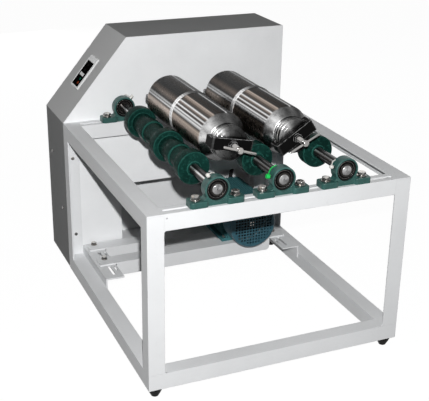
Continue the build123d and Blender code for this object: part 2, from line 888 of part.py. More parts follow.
def roller_sleeve(name):
    """Moulded rubber sleeve: a neck with large and small rings, as one turned form."""
    low, high = sleeve_front, sleeve_front + sleeve_length
    profile = Pos(0, (low + high) / 2) * Rectangle(2 * sleeve_neck_radius, high - low)
    for places, radius, ring in (
        (ring_places, ring_radius, ring_width),
        (small_ring_places, small_ring_radius, small_ring_width),
    ):
        for at in places:
            band = Pos(0, at + ring / 2) * Rectangle(2 * radius, ring)
            edge = ring_edge if radius == ring_radius else ring_edge / 2
            profile += fillet(band.vertices(), edge)
    outside_shaft = Rectangle(2 * ring_radius, 2 * sleeve_length)
    profile &= Pos(shaft_radius + ring_radius, (low + high) / 2) * outside_shaft
    sleeve = Pos(roller_x[name], y_front, z_shaft) * revolve(profile, Axis.Y)
    for end, outward in ((low, -1), (high, 1)):
        first, last = sorted((y_front + end, y_front + end + outward * sleeve_lip_height))
        lip = rod(roller_x[name], z_shaft, first, last, sleeve_lip_radius)
        sleeve += lip - rod(roller_x[name], z_shaft, first, last, shaft_radius)
    return sleeve


def inner_rings(name):
    """Inner rings of both bearings, each clamped to the shaft by two set screws."""
    edge_radius = inner_ring_radius - inner_ring_edge
    rings = []
    for y in (front_block_y, rear_block_y):
        ring = turned(
            [
                (shaft_radius, -inner_ring_front), (edge_radius, -inner_ring_front),
                (inner_ring_radius, inner_ring_edge - inner_ring_front),
                (inner_ring_radius, inner_ring_back - inner_ring_edge),
                (edge_radius, inner_ring_back), (shaft_radius, inner_ring_back),
            ]
        )
        screw_y = inner_ring_back - 2 * set_screw_radius
        for angle in (-set_screw_angle, set_screw_angle):
            hole = Pos(0, screw_y, inner_ring_radius) * Cylinder(set_screw_radius, 2 * set_screw_depth)
            ring -= Rot(0, angle, 0) * hole
        rings.append(Pos(roller_x[name], y, z_shaft) * ring)
    return rings


def groove_points(rim, plane):
    """Points of a V groove in a pulley's rim, from low Y to high Y."""
    depth = belt_height + belt_below_rim + groove_bottom_gap
    top = belt_top_width / 2 + groove_clearance + belt_below_rim * math.tan(math.radians(belt_taper_deg))
    bottom = top - depth * math.tan(math.radians(belt_taper_deg))
    root = rim - depth
    return [(rim, plane - top), (root, plane - bottom), (root, plane + bottom), (rim, plane + top)]


def pulley(x, z, bore, grooves):
    """Turned pulley from (rim radius, belt plane) pairs in order of Y, bored for its shaft."""
    points = []
    for rim, plane in grooves:
        points.append((rim, plane - pulley_face / 2))
        points.extend(groove_points(rim, plane))
        points.append((rim, plane + pulley_face / 2))
    first, last = grooves[0][1] - pulley_face / 2, grooves[-1][1] + pulley_face / 2
    wheel = turned([(bore, first), *points, (bore, last)], x, 0, z)
    for rim, plane in grooves:
        if rim - pulley_rim > pulley_hub_radius + pulley_web:
            face_y = plane - pulley_face / 2
            dish = rod(x, z, face_y, face_y + pulley_web, rim - pulley_rim)
            wheel -= dish - rod(x, z, face_y, face_y + pulley_web, pulley_hub_radius)
    return wheel


def roller_pulley(name):
    """Pulleys on a roller's shaft. The right one is driven by the motor."""
    small = roller_pulley_radius
    grooves = {
        "right": [(drive_pulley_radius, belt_planes[0]), (small, belt_planes[1])],
        "middle": [(small, belt_planes[1]), (small, belt_planes[2])],
        "left": [(small, belt_planes[2])],
    }
    return pulley(roller_x[name], z_shaft, shaft_radius, grooves[name])


def belt(first, first_rim, second, second_rim, plane):
    """V belt round two pulleys given by their (x, z) centres and rims."""
    outer = belt_below_rim
    inner = belt_below_rim + belt_height
    slant = belt_height * math.tan(math.radians(belt_taper_deg))
    gap = math.dist(first, second)
    heading = math.degrees(math.atan2(second[1] - first[1], second[0] - first[0]))
    r1, r2 = first_rim - outer, second_rim - outer
    tilt = math.degrees(math.acos((r1 - r2) / gap))

    def on(centre, radius, angle):
        a = math.radians(angle)
        return (centre[0] + radius * math.cos(a), plane, centre[1] + radius * math.sin(a))

    start = on(first, r1, heading + tilt)
    far = on(second, r2, heading + tilt)
    far_end = on(second, r2, heading - tilt)
    near_end = on(first, r1, heading - tilt)
    path = Wire(
        [
            Line(start, far).edge(),
            ThreePointArc(far, on(second, r2, heading), far_end).edge(),
            Line(far_end, near_end).edge(),
            ThreePointArc(near_end, on(first, r1, heading + 180), start).edge(),
        ]
    )
    inward = Vector(first[0], plane, first[1]) - Vector(*start)
    along = Vector(*far) - Vector(*start)
    section_plane = Plane(origin=start, x_dir=inward, z_dir=along)
    wide = belt_top_width / 2
    deep = inner - outer
    corners = [(0, -wide), (deep, -wide + slant), (deep, wide - slant), (0, wide)]
    section = section_plane * make_face(Polyline(*corners, close=True))
    return sweep(section, path)


def drive_belts():
    """Motor belt up to the right roller, and a belt between each pair of rollers."""
    motor = (motor_x, z_motor)
    right, middle, left = ((roller_x[name], z_shaft) for name in ("right", "middle", "left"))
    small = roller_pulley_radius
    return [
        belt(motor, motor_pulley_radius, right, drive_pulley_radius, belt_planes[0]),
        belt(middle, small, right, small, belt_planes[1]),
        belt(left, small, middle, small, belt_planes[2]),
    ]


def motor_section():
    """Front view of the housing: a round core with parallel fins on four sides of a rounded square."""
    size = motor_half_size
    count = int(size / fin_pitch)
    fins = [Pos(k * fin_pitch, size / 2) * Rectangle(fin_width, size) for k in range(-count, count + 1)]
    quarter = (Sketch() + fins) & make_face(Polyline((0, 0), (size, size), (-size, size), close=True))
    rib = Pos(size, 0) * Rectangle(2 * (size - fin_pitch), fin_width)
    section = Circle(motor_core_radius)
    for k in range(4):
        section += Rot(0, 0, k * 90) * quarter
        section += Rot(0, 0, k * 90 + 45) * rib
    return section & RectangleRounded(2 * size, 2 * size, motor_corner)


def motor_foot_outline(side):
    """Front view of one motor foot and the web that joins it to the housing."""
    low, top = -motor_shaft_height, motor_foot_thickness - motor_shaft_height
    points = [
        (motor_foot_inner, low), (motor_foot_outer, low), (motor_foot_outer, top),
        (motor_foot_inner + motor_foot_root, top), (motor_foot_inner + motor_foot_web, -motor_foot_web_top),
        (motor_foot_inner, -motor_foot_web_top),
    ]
    return make_face(Polyline(*[(side * across, height) for across, height in points], close=True))


def motor_body():
    """Finned stator housing with two cast feet."""
    body = Pos(motor_x, 0, z_motor) * upright(motor_section(), y_stator, y_stator_end)
    foot_run = (motor_bolts_y[0] - motor_foot_overhang, motor_bolts_y[1] + motor_foot_overhang)
    for side in (-1, 1):
        body += Pos(motor_x, 0, z_motor) * upright(motor_foot_outline(side), *foot_run)
    top = z_motor_seat + motor_foot_thickness
    for bolt_y in motor_bolts_y:
        for side in (-1, 1):
            x = motor_x + side * motor_foot_width / 2
            body -= post(x, bolt_y, z_motor_seat, top, motor_bolt_radius + bolt_clearance)
            body -= post(x, bolt_y, top, top + spot_face_height, spot_face_radius)
    return body - rod(motor_x, z_motor, y_stator, y_stator_end, shield_hub_radius)


def motor_end_shields():
    """Cast end shields. The front one carries the cowl on its rim, the rear one ends in a hub."""
    bore = motor_shaft_radius + running_gap
    rim = cowl_radius - cowl_wall
    disc = [(bore, -shield_thickness), (rim, -shield_thickness), (rim, 0), (bore, 0)]
    front = turned(disc, motor_x, y_stator, z_motor)
    hub = motor_shoulder_y - y_stator_end
    rear = turned(
        [
            (bore, 0), (shield_radius, 0), (shield_radius, shield_rim),
            (shield_radius - shield_rim, shield_thickness),
            (shield_hub_radius + shield_step, shield_thickness + shield_dish),
            (shield_hub_radius, hub), (bore, hub),
        ],
        motor_x, y_stator_end, z_motor,
    )
    return [front, rear]


def fan_cowl():
    """Pressed fan cowl with a grid of square holes in its front face."""
    length = y_stator - shield_thickness + cowl_overlap - y_cowl
    outer = Pos(0, length / 2) * Rectangle(2 * cowl_radius, length)
    outer = fillet(outer.vertices().group_by(Axis.Y)[0], cowl_edge)
    inner = Pos(0, length / 2 + cowl_wall) * Rectangle(2 * (cowl_radius - cowl_wall), length)
    inner = fillet(inner.vertices().group_by(Axis.Y)[0], cowl_edge - cowl_wall)
    profile = (outer - inner) & (Pos(cowl_radius, 0) * Rectangle(2 * cowl_radius, 4 * length))
    cowl = Pos(motor_x, y_cowl, z_motor) * revolve(profile, Axis.Y)
    count = int(grille_radius / grille_pitch)
    holes = []
    for i in range(-count, count + 1):
        for j in range(-count, count + 1):
            if math.hypot(i, j) * grille_pitch < grille_radius:
                hole = Rectangle(grille_hole, grille_hole)
                holes.append(Pos(i * grille_pitch, j * grille_pitch) * hole)
    cutter = upright(Sketch() + holes, 0, cowl_wall)
    return cowl - Pos(motor_x, y_cowl, z_motor) * cutter


def terminal_box():
    """Terminal box on the right side of the motor, with its lid."""
    wide, deep, tall = box_size
    x_lid, x_end = motor_x + motor_half_size + wide - box_lid, motor_x + motor_half_size + wide
    y = (y_stator + y_stator_end) / 2
    base = block((motor_x + motor_half_size, x_lid), (y - deep / 2, y + deep / 2), (-tall / 2, tall / 2))
    deep, tall = deep + 2 * box_lid_overhang, tall + 2 * box_lid_overhang
    lid = block((x_lid, x_end), (y - deep / 2, y + deep / 2), (-tall / 2, tall / 2))
    return Pos(0, 0, z_motor) * fillet((base + lid).edges().filter_by(Axis.X), box_corner)


def rotor_shaft():
    """Motor shaft from the fan to the pulley, with the rotor core hidden in the stator."""
    end = motor_shoulder_y + motor_shaft_out
    shaft = rod(motor_x, z_motor, y_cowl + shaft_behind_cowl, end, motor_shaft_radius)
    core = (y_stator + rotor_inset, y_stator_end - rotor_inset)
    return shaft + rod(motor_x, z_motor, *core, shield_hub_radius - rotor_gap)


def motor_fan():
    """Radial fan on the free end of the motor shaft."""
    y_plate = y_stator - shield_thickness - fan_gap
    plate = rod(motor_x, z_motor, y_plate - fan_plate, y_plate, fan_radius)
    hub = rod(motor_x, z_motor, y_plate - fan_blade_length, y_plate, fan_hub_radius)
    fan = plate + hub
    for k in range(fan_blades):
        blade = block(
            (fan_hub_radius - fan_blade_sunk, fan_radius),
            (y_plate - fan_blade_length, y_plate - fan_plate),
            (-fan_blade_width / 2, fan_blade_width / 2),
        )
        fan += Pos(motor_x, 0, z_motor) * Rot(0, k * 360 / fan_blades, 0) * blade
    return fan - rod(motor_x, z_motor, y_plate - fan_blade_length, y_plate, motor_shaft_radius)


def motor_pulley():
    return pulley(motor_x, z_motor, motor_shaft_radius, [(motor_pulley_radius, belt_planes[0])])


def jar_shell(name):
    """Turned jar: flanged mouth, neck, cone and a long body with a raised seam band."""
    mouth = lid_thickness + gasket_thickness
    flange_end = mouth + flange_thickness
    cone_start = flange_end + neck_length
    cone_end = cone_start + cone_length
    outer = [
        (mouth_radius, mouth), (flange_radius, mouth), (flange_radius, flange_end),
        (neck_radius, flange_end), (neck_radius, cone_start),
        (cone_radius, cone_start), (jar_radius, cone_end),
        (jar_radius, seam_at), (jar_radius + seam_height, seam_at + seam_height),
        (jar_radius + seam_height, seam_at + seam_width - seam_height), (jar_radius, seam_at + seam_width),
        (jar_radius, jar_length - jar_bottom_edge), (jar_radius - jar_bottom_edge, jar_length),
        (0, jar_length),
    ]
    inside = jar_radius - jar_wall
    inner = [
        (0, jar_length - 2 * jar_wall), (inside - jar_bottom_edge, jar_length - 2 * jar_wall),
        (inside, jar_length - 2 * jar_wall - jar_bottom_edge), (inside, cone_end + jar_inner_step),
        (mouth_radius, cone_start + 2 * jar_inner_step),
    ]
    return turned(outer + inner, jar_x[name], y_front + jar_fronts[name], z_jar)


def jar_lid(name):
    """Turned lid with a plug that centres it in the mouth and a fine groove in its face."""
    plug = mouth_radius - plug_clearance
    groove = lid_groove_radius
    points = [
        (0, 0), (groove, 0), (groove, lid_groove_depth), (groove + lid_groove_width, lid_groove_depth),
        (groove + lid_groove_width, 0), (lid_radius - lid_edge, 0), (lid_radius, lid_edge),
        (lid_radius, lid_thickness), (plug, lid_thickness),
        (plug, lid_thickness + gasket_thickness + lid_plug_depth),
        (0, lid_thickness + gasket_thickness + lid_plug_depth),
    ]
    return turned(points, jar_x[name], y_front + jar_fronts[name], z_jar)


def jar_gasket(name):
    """Flat ring gasket between the lid and the mouth."""
    inner, outer = mouth_radius, lid_radius - gasket_inset
    low, high = lid_thickness, lid_thickness + gasket_thickness
    points = [(inner, low), (outer, low), (outer, high), (inner, high)]
    return turned(points, jar_x[name], y_front + jar_fronts[name], z_jar)


def clamp_bar(name):
    """Bar across the lid whose two arms hook behind the mouth's flange."""
    bar_back = -clamp_lid_gap
    bar_front = bar_back - clamp_thickness
    hook_front = lid_thickness + gasket_thickness + flange_thickness + clear_gap
    hook_back = hook_front + hook_thickness
    tip = clamp_half_length
    bar = block((-tip, tip), (bar_front, bar_back), (-clamp_width / 2, clamp_width / 2))
    for side in (-1, 1):
        arm = (side * (tip - arm_thickness), side * tip)
        bar += block(arm, (bar_back, hook_back), (-arm_width / 2, arm_width / 2))
        hook = (side * (tip - arm_thickness - hook_depth), side * (tip - arm_thickness))
        bar += block(hook, (hook_front, hook_back), (-arm_width / 2, arm_width / 2))
    bar = fillet(bar.edges().filter_by(Axis.Z).group_by(Axis.Y)[0], clamp_end_radius)
    nut_place = Plane(origin=(0, bar_front, 0), x_dir=(1, 0, 0), z_dir=(0, -1, 0))
    bar += nut_place * hex_prism(clamp_nut_across, clamp_nut_height)
    bar -= rod(0, 0, bar_front - clamp_nut_height, bar_back, screw_thread_radius + running_gap)
    turn = Rot(0, -clamp_angles[name], 0)
    return Pos(jar_x[name], y_front + jar_fronts[name], z_jar) * turn * bar


def clamp_screw(name):
    """Screw that presses the lid, with a hub and a cross handle."""
    hub_y = -handle_from_lid
    screw = rod(0, 0, hub_y, -clear_gap, screw_thread_radius)
    screw += rod(0, 0, hub_y - handle_hub_length / 2, hub_y + handle_hub_length / 2, handle_hub_radius)
    bar = Pos(0, hub_y, 0) * Rot(0, 90, 0) * Cylinder(handle_radius, handle_length)
    screw += fillet(bar.edges().filter_by(GeomType.CIRCLE), handle_end_radius)
    turn = Rot(0, -handle_angles[name], 0)
    return Pos(jar_x[name], y_front + jar_fronts[name], z_jar) * turn * screw


def all_nodes():
    """Every named sub-part: a solid, or a list of separate solids."""
    nodes = {
        "legs": legs(),
        "top_rail_front": top_rail_front(),
        "top_rail_rear": top_rail_rear(),
        "top_rail_left": top_rail_side(-1),
        "top_rail_right": top_rail_side(1),
        "rubber_feet": rubber_feet(),
        "frame_bolts": frame_bolts(),
        "motor_brackets": [motor_bracket(-1), motor_bracket(1)],
        "cross_members": [cross_member(front_member_from_panel), cross_member(rear_member_from_panel)],
        "cabinet_shell": cabinet_shell(),
        "cabinet_front_panel": cabinet_front_panel(),
        "cabinet_back_cover": cabinet_back_cover(),
        "cabinet_screws": cabinet_screws(),
        "power_inlet": power_inlet(),
        "control_bezel": control_bezel(),
        "control_face": control_face(),
        "control_display": control_display(),
        "pillow_blocks": [pillow_block(x, y) for x, y in block_places()],
        "bearing_outer_rings": [ring for x, y in block_places() for ring in bearing_rings(x, y)],
        "block_bolts": block_bolts(),
        "grease_nipples": grease_nipples(),
        "nipple_cap": nipple_cap(),
        "motor_body": motor_body(),
        "motor_end_shields": motor_end_shields(),
        "fan_cowl": fan_cowl(),
        "terminal_box": terminal_box(),
        "drive_belts": drive_belts(),
        "rotor_shaft": rotor_shaft(),
        "motor_fan": motor_fan(),
        "motor_pulley": motor_pulley(),
    }
    for k, side in enumerate(("front", "right", "rear", "left")):
        nodes["base_rail_" + side] = base_rail(k)
    for name, place in key_places.items():
        nodes[name] = control_key(place)
    for name in roller_x:
        nodes[name + "_roller_shaft"] = roller_shaft(name)
        nodes[name + "_roller_sleeve"] = roller_sleeve(name)
        nodes[name + "_roller_inner_rings"] = inner_rings(name)
        nodes[name + "_roller_pulley"] = roller_pulley(name)
    for name in jar_x:
        nodes[name + "_jar_shell"] = jar_shell(name)
        nodes[name + "_jar_lid"] = jar_lid(name)
        nodes[name + "_jar_gasket"] = jar_gasket(name)
        nodes[name + "_clamp_bar"] = clamp_bar(name)
        nodes[name + "_clamp_screw"] = clamp_screw(name)
    return nodes


os.makedirs("parts", exist_ok=True)
for node_name, shape in all_nodes().items():
    solids = shape if isinstance(shape, list) else [shape]
    export_step(Compound(children=[s for item in solids for s in item.solids()]), f"parts/{node_name}.step")
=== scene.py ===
import json
import math
import random

import bmesh
import bpy
from mathutils import Matrix, Vector


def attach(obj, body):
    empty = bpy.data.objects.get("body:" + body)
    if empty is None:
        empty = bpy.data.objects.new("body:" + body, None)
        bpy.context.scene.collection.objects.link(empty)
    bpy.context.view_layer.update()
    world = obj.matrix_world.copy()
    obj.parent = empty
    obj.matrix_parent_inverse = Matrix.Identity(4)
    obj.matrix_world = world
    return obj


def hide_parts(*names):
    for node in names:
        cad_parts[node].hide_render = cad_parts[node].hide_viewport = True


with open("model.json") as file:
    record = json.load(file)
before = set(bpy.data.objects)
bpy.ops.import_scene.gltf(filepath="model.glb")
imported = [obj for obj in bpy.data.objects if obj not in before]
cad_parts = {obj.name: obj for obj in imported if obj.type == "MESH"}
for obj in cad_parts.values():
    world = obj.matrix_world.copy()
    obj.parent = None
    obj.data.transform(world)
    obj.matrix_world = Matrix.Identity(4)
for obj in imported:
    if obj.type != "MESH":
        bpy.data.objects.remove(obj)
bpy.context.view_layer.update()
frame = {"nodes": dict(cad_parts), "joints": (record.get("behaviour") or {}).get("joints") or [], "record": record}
nodes = frame["nodes"]
scene = bpy.context.scene
random.seed(7)
mm = 0.001

# The camera stands front left of the machine and looks down on it, in metres. Its focal length is in
# pixels of the photo, its sensor in millimetres.
camera_place = Vector((-0.9336, -2.1854, 1.2665))
camera_target = Vector((0.0071, -0.0193, 0.2901))
camera_roll = math.radians(0.92)
focal_pixels = 941.0
photo_width = 429.0
sensor = 36.0

# Lamps: place and size in metres, power in watts. They all face one point.
lamp_target = (0, 0, 0.35)
lamps = {
    "key": ((-0.91, -2.185, 1.40), 0.03, 61),
    "right": ((3.2, 0.9, 0.5), 1.5, 16),
    "back": ((-0.3, 3.4, 0.7), 1.5, 25),
}

# Floor and surround: the floor's half width in metres and its own grey, then how strongly each lights
# the scene and how bright the camera and reflections see it
floor_reach = 6.0
floor_grey = 0.05
floor_light, floor_seen = 0.0, 0.975
surround_light, surround_seen = 0.006, 1.0

# Colours as linear values
white_paint = (0.83, 0.84, 0.85)
panel_paint = (0.92, 0.93, 0.94)
# Painted shade: the cabinet's paint darkened for the shell, whose faces turn away from the lamp
shell_paint_shaded = (0.42, 0.425, 0.425)
casting_green = (0.022, 0.078, 0.069)
sleeve_green = (0.004, 0.024, 0.019)
motor_teal = (0.030, 0.098, 0.130)
# Painted light: the motor's teal brightened for its finned body, standing in for the light the fins catch
fin_teal_lit = (0.0455, 0.1495, 0.1625)
deep_black = (0.004, 0.004, 0.004)
foot_black = (0.006, 0.006, 0.006)
belt_black = (0.008, 0.008, 0.008)
plastic_black = (0.012, 0.012, 0.012)
steel = (0.62, 0.60, 0.58)
dark_steel = (0.30, 0.28, 0.26)
zinc = (0.62, 0.61, 0.59)
# Painted shade for the faces of fasteners that don't face up
zinc_painted_shade = (0.02, 0.02, 0.02)
steel_glint = (0.55, 0.55, 0.55)

# Places of the CAD model that the pieces built here share, in millimetres
y_front = -443.0
y_panel = 251.0
z_top = 466.0
z_shaft = 502.5
roller_x = {"left": -166.0, "middle": -3.0, "right": 160.0}
jar_x = {"left": -84.5, "right": 78.5}
jar_face = {"left": y_front + 124.0, "right": y_front + 118.0}
block_y = {"front": y_front + 20.0, "rear": y_panel - 22.0}
bolt_reach = 48.0
bolt_seat = z_top + 14.0

# Along a jar from its front face, and across it, in millimetres. The mouth, the neck and the lid lie
# within the mouth's reach.
jar_mouth = 11.5
seam_start, seam_middle, seam_end = 226.0, 233.0, 241.0
jar_length = 409.0
jar_radius = 60.0
mouth_reach = 45.0

# Along a roller from the frame's front, and across it, in millimetres
shaft_start, shaft_end = 7.5, y_panel - y_front + 98.0
sleeve_start, sleeve_end = 145.0, 547.0
shaft_radius = 12.5

# Turn of each clamp screw's handle from level, in degrees
handle_turn = {"left": -18.0, "right": 27.0}

# Faces that meet at more degrees than this keep a crease.
crease = 32.0


def joint_of(child):
    """The joint that carries a body."""
    return next(j for j in frame["joints"] if j["child"] == child)


def axis_place(body):
    """(x, z) of a turning body's axis, which runs along Y, in metres."""
    x, _, z = joint_of(body)["pos_m"]
    return x, z


class Nodes:
    """Short way to write a material's node tree."""

    def __init__(self, name, rough, color, metallic=0.0, specular=0.5):
        self.material = bpy.data.materials.new(name)
        self.material.use_nodes = True
        self.tree = self.material.node_tree
        self.shader = self.tree.nodes["Principled BSDF"]
        self.shader.inputs["Base Color"].default_value = (*color, 1)
        self.shader.inputs["Roughness"].default_value = rough
        self.shader.inputs["Metallic"].default_value = metallic
        self.shader.inputs["Specular IOR Level"].default_value = specular
        self.place = self.add("ShaderNodeTexCoord").outputs["Object"]

    def add(self, kind, **values):
        node = self.tree.nodes.new(kind)
        for key, value in values.items():
            setattr(node, key, value)
        return node

    def link(self, output, target):
        self.tree.links.new(output, target)

    def to(self, name, output):
        """Feed an input of the shader."""
        self.link(output, self.shader.inputs[name])

    def scaled(self, scale):
        """Place on the object, stretched."""
        node = self.add("ShaderNodeMapping")
        node.inputs["Scale"].default_value = scale
        self.link(self.place, node.inputs["Vector"])
        return node.outputs["Vector"]

    def moved(self, offset):
        """Place on the object, shifted."""
        node = self.add("ShaderNodeMapping")
        node.inputs["Location"].default_value = offset
        self.link(self.place, node.inputs["Vector"])
        return node.outputs["Vector"]

    def vector(self, *parts):
        """Vector whose first coordinates are these outputs."""
        node = self.add("ShaderNodeCombineXYZ")
        for part, target in zip(parts, node.inputs):
            self.link(part, target)
        return node.outputs[0]

    def noise(self, scale, detail=4.0, rough=0.5, vector=None):
        node = self.add("ShaderNodeTexNoise")
        node.inputs["Scale"].default_value = scale
        node.inputs["Detail"].default_value = detail
        node.inputs["Roughness"].default_value = rough
        self.link(vector or self.place, node.inputs["Vector"])
        return node.outputs["Fac"]

    def ramp(self, value, stops):
        """Colour by value, from (position, colour or grey) stops."""
        node = self.add("ShaderNodeValToRGB")
        band = node.color_ramp
        while len(band.elements) < len(stops):
            band.elements.new(0.5)
        for element, (at, color) in zip(band.elements, stops):
            element.position = at
            element.color = (*color, 1) if hasattr(color, "__len__") else (color, color, color, 1)
        self.link(value, node.inputs["Fac"])
        return node.outputs["Color"]

    def spread(self, value, low, high, start=0.0, end=1.0):
        """Value from start to end mapped onto low to high."""
        node = self.add("ShaderNodeMapRange")
        for name, number in (("From Min", start), ("From Max", end), ("To Min", low), ("To Max", high)):
            node.inputs[name].default_value = number
        self.link(value, node.inputs["Value"])
        return node.outputs["Result"]

    def math(self, operation, first, second=None):
        node = self.add("ShaderNodeMath", operation=operation)
        for index, value in enumerate((first, second)):
            if value is None:
                continue
            if isinstance(value, (int, float)):
                node.inputs[index].default_value = value
            else:
                self.link(value, node.inputs[index])
        return node.outputs[0]

    def mix(self, share, first, second, blend="MIX"):
        """Colour from two colours, each a value or an output; share is how much of the second."""
        node = self.add("ShaderNodeMix", data_type="RGBA", blend_type=blend)
        if isinstance(share, (int, float)):
            node.inputs[0].default_value = share
        else:
            self.link(share, node.inputs[0])
        for index, value in ((6, first), (7, second)):
            if hasattr(value, "links"):
                self.link(value, node.inputs[index])
            else:
                node.inputs[index].default_value = (*value, 1)
        return node.outputs[2]

    def bump(self, height, strength, distance, below=None):
        """Normal of a bumpy surface, over another normal if one is given."""
        node = self.add("ShaderNodeBump")
        node.inputs["Strength"].default_value = strength
        node.inputs["Distance"].default_value = distance
        self.link(height, node.inputs["Height"])
        if below is not None:
            self.link(below, node.inputs["Normal"])
        return node.outputs["Normal"]

    def bevelled(self, radius):
        """Normal of a rounded edge."""
        bevel = self.add("ShaderNodeBevel")
        bevel.inputs["Radius"].default_value = radius
        bevel.samples = 4
        return bevel.outputs["Normal"]

    def edge(self, rounded):
        """1 on edges and 0 on flats, from the difference of a bevelled normal."""
        geometry = self.add("ShaderNodeNewGeometry")
        dot = self.add("ShaderNodeVectorMath", operation="DOT_PRODUCT")
        self.link(rounded, dot.inputs[0])
        self.link(geometry.outputs["Normal"], dot.inputs[1])
        return self.spread(dot.outputs["Value"], 0.0, 1.0, 1.0, 0.93)

    def facing(self):
        """X, Y and Z of the direction that the surface faces."""
        parts = self.add("ShaderNodeSeparateXYZ")
        self.link(self.add("ShaderNodeNewGeometry").outputs["Normal"], parts.inputs[0])
        return parts.outputs

    def axis_parts(self, body):
        """Share of a turn round a body's axis, distance from the axis, and place along Y.

        The share is 0 straight down, 0.25 at the left, 0.5 upright and 0.75 at the right.
        """
        x, z = axis_place(body)
        parts = self.add("ShaderNodeSeparateXYZ")
        self.link(self.moved((-x, 0, -z)), parts.inputs[0])
        across, along, up = (parts.outputs[axis] for axis in "XYZ")
        share = self.spread(self.math("ARCTAN2", across, up), 0.0, 1.0, -math.pi, math.pi)
        squares = self.math("ADD", self.math("MULTIPLY", across, across), self.math("MULTIPLY", up, up))
        return share, self.math("SQRT", squares), along


def tint(color, factor, lift=0.0):
    """Colour times a factor, lifted by an amount, and no brighter than white."""
    return tuple(min(1.0, c * factor + lift) for c in color)


def powder_coat(name, color, rough=0.42, grime=0.35, specular=0.25, round_edge=0.0012, edge_wear_and_highlight=0.0,
                slope_highlight=0.0):
    """Sprayed paint: fine orange peel, faint clouds, a little grime and soft edges.

    The edge option pales the edges, partly as rubbed paint and partly as a painted edge highlight, and the slope
    option paints sloping faces paler, a painted highlight where the lamp falls on them.
    """
    n = Nodes(name, rough, color, specular=specular)
    cloud = n.ramp(n.noise(6.0, 5.0, 0.6), [(0.3, tint(color, 0.93)), (0.68, color)])
    spots = n.ramp(n.noise(42.0, 8.0, 0.72), [(0.0, 1.0), (0.6, 1.0), (0.8, 0.8)])
    base = n.mix(grime, cloud, spots, "MULTIPLY")
    soft = n.bevelled(round_edge)
    # Paler edges: partly rubbed paint, partly a painted edge highlight
    if edge_wear_and_highlight:
        patchy = n.spread(n.noise(70.0, 4.0, 0.6), 0.0, 2 * edge_wear_and_highlight, 0.35, 0.7)
        base = n.mix(n.math("MULTIPLY", n.edge(soft), patchy), base, tint(color, 1.0, 0.5))
    # Painted highlight: faces that slope between side and top are made paler
    if slope_highlight:
        facing = n.facing()
        sloping = n.math("ABSOLUTE", n.math("MULTIPLY", facing["X"], facing["Z"]))
        base = n.mix(n.spread(sloping, 0.0, slope_highlight, 0.2, 0.4), base, (1.0, 1.0, 1.0))
    n.to("Base Color", base)
    n.to("Roughness", n.spread(n.noise(90.0, 3.0), rough - 0.08, rough + 0.1))
    n.to("Normal", n.bump(n.noise(900.0, 2.0), 0.1, 0.0002, soft))
    return n.material


def enamel_casting(name, color, rough=0.32, pale=2.0, specular=0.3):
    """Enamelled iron: sand-cast lumps under gloss paint, with paler patchy edges as a painted edge highlight."""
    n = Nodes(name, rough, color, specular=specular)
    patches = n.ramp(n.noise(70.0, 6.0, 0.65), [(0.3, tint(color, 0.8)), (0.72, tint(color, 1.35))])
    soft = n.bevelled(0.0013)
    # Painted highlight along the rounded edges, patchy
    casting_edge_highlight = n.math("MULTIPLY", n.edge(soft), n.spread(n.noise(160.0, 4.0, 0.6), 0.2, 1.0, 0.3, 0.65))
    n.to("Base Color", n.mix(casting_edge_highlight, patches, tint(color, pale, 0.06)))
    n.to("Roughness", n.spread(n.noise(120.0, 4.0), rough - 0.1, rough + 0.14))
    lumps = n.bump(n.noise(240.0, 5.0, 0.6), 0.3, 0.0005, soft)
    n.to("Normal", n.bump(n.noise(1400.0, 2.0), 0.15, 0.0002, lumps))
    return n.material


def moulded_rubber(name, color, rough=0.5, speckle=0.5, specular=0.15, pale=3.0, rim_highlight=0.0):
    """Moulded rubber: chalky speckle, rubbed patches, a pitted surface, soft edges and a painted highlight along
    the edges.

    pale is how much lighter the speckle and the painted highlights are, and the rim option how strongly the
    faces that turn halfway to Y, as the rounded rims of a ring do, get a painted highlight.
    """
    n = Nodes(name, rough, color, specular=specular)
    speck = n.ramp(n.noise(170.0, 5.0, 0.8), [(0.52, 0.0), (0.7, 1.0)])
    patches = n.ramp(n.noise(26.0, 5.0, 0.6), [(0.35, tint(color, 0.75)), (0.7, tint(color, 1.35))])
    soft = n.bevelled(0.002)
    # Painted highlight along the edges
    edge_highlight = n.math("MULTIPLY", n.edge(soft), 0.8)
    amount = n.math("MAXIMUM", n.math("MULTIPLY", speck, speckle), edge_highlight)
    # Painted highlight on the rounded rims of rings
    if rim_highlight:
        level = n.math("ABSOLUTE", n.facing()["Y"])
        turning = n.ramp(level, [(0.25, 0.0), (0.45, 1.0), (0.8, 1.0), (0.96, 0.0)])
        patchy = n.spread(n.noise(90.0, 4.0, 0.7), 0.1 * rim_highlight, 1.3 * rim_highlight, 0.35, 0.65)
        amount = n.math("MAXIMUM", amount, n.math("MULTIPLY", turning, patchy))
    n.to("Base Color", n.mix(amount, patches, tint(color, pale, 0.01)))
    n.to("Roughness", n.spread(n.noise(75.0, 4.0), rough - 0.14, rough + 0.14))
    n.to("Normal", n.bump(n.noise(520.0, 4.0, 0.6), 0.22, 0.0004, soft))
    return n.material


def turned_steel(name, color, rough, lines, stain=0.3):
    """Turned steel: fine lines round the axis, faint stains and smears."""
    n = Nodes(name, rough, color, metallic=1.0)
    rings = n.noise(1.0, 3.0, 0.6, n.scaled((3.0, lines, 3.0)))
    warm = (color[0], color[1] * 0.94, color[2] * 0.86)
    tone = n.ramp(n.noise(22.0, 6.0, 0.65), [(0.3, tint(color, 1 - stain)), (0.55, color), (0.75, warm)])
    n.to("Base Color", tone)
    n.to("Roughness", n.spread(rings, rough - 0.07, rough + 0.09))
    n.to("Normal", n.bump(rings, 0.12, 0.0003))
    return n.material


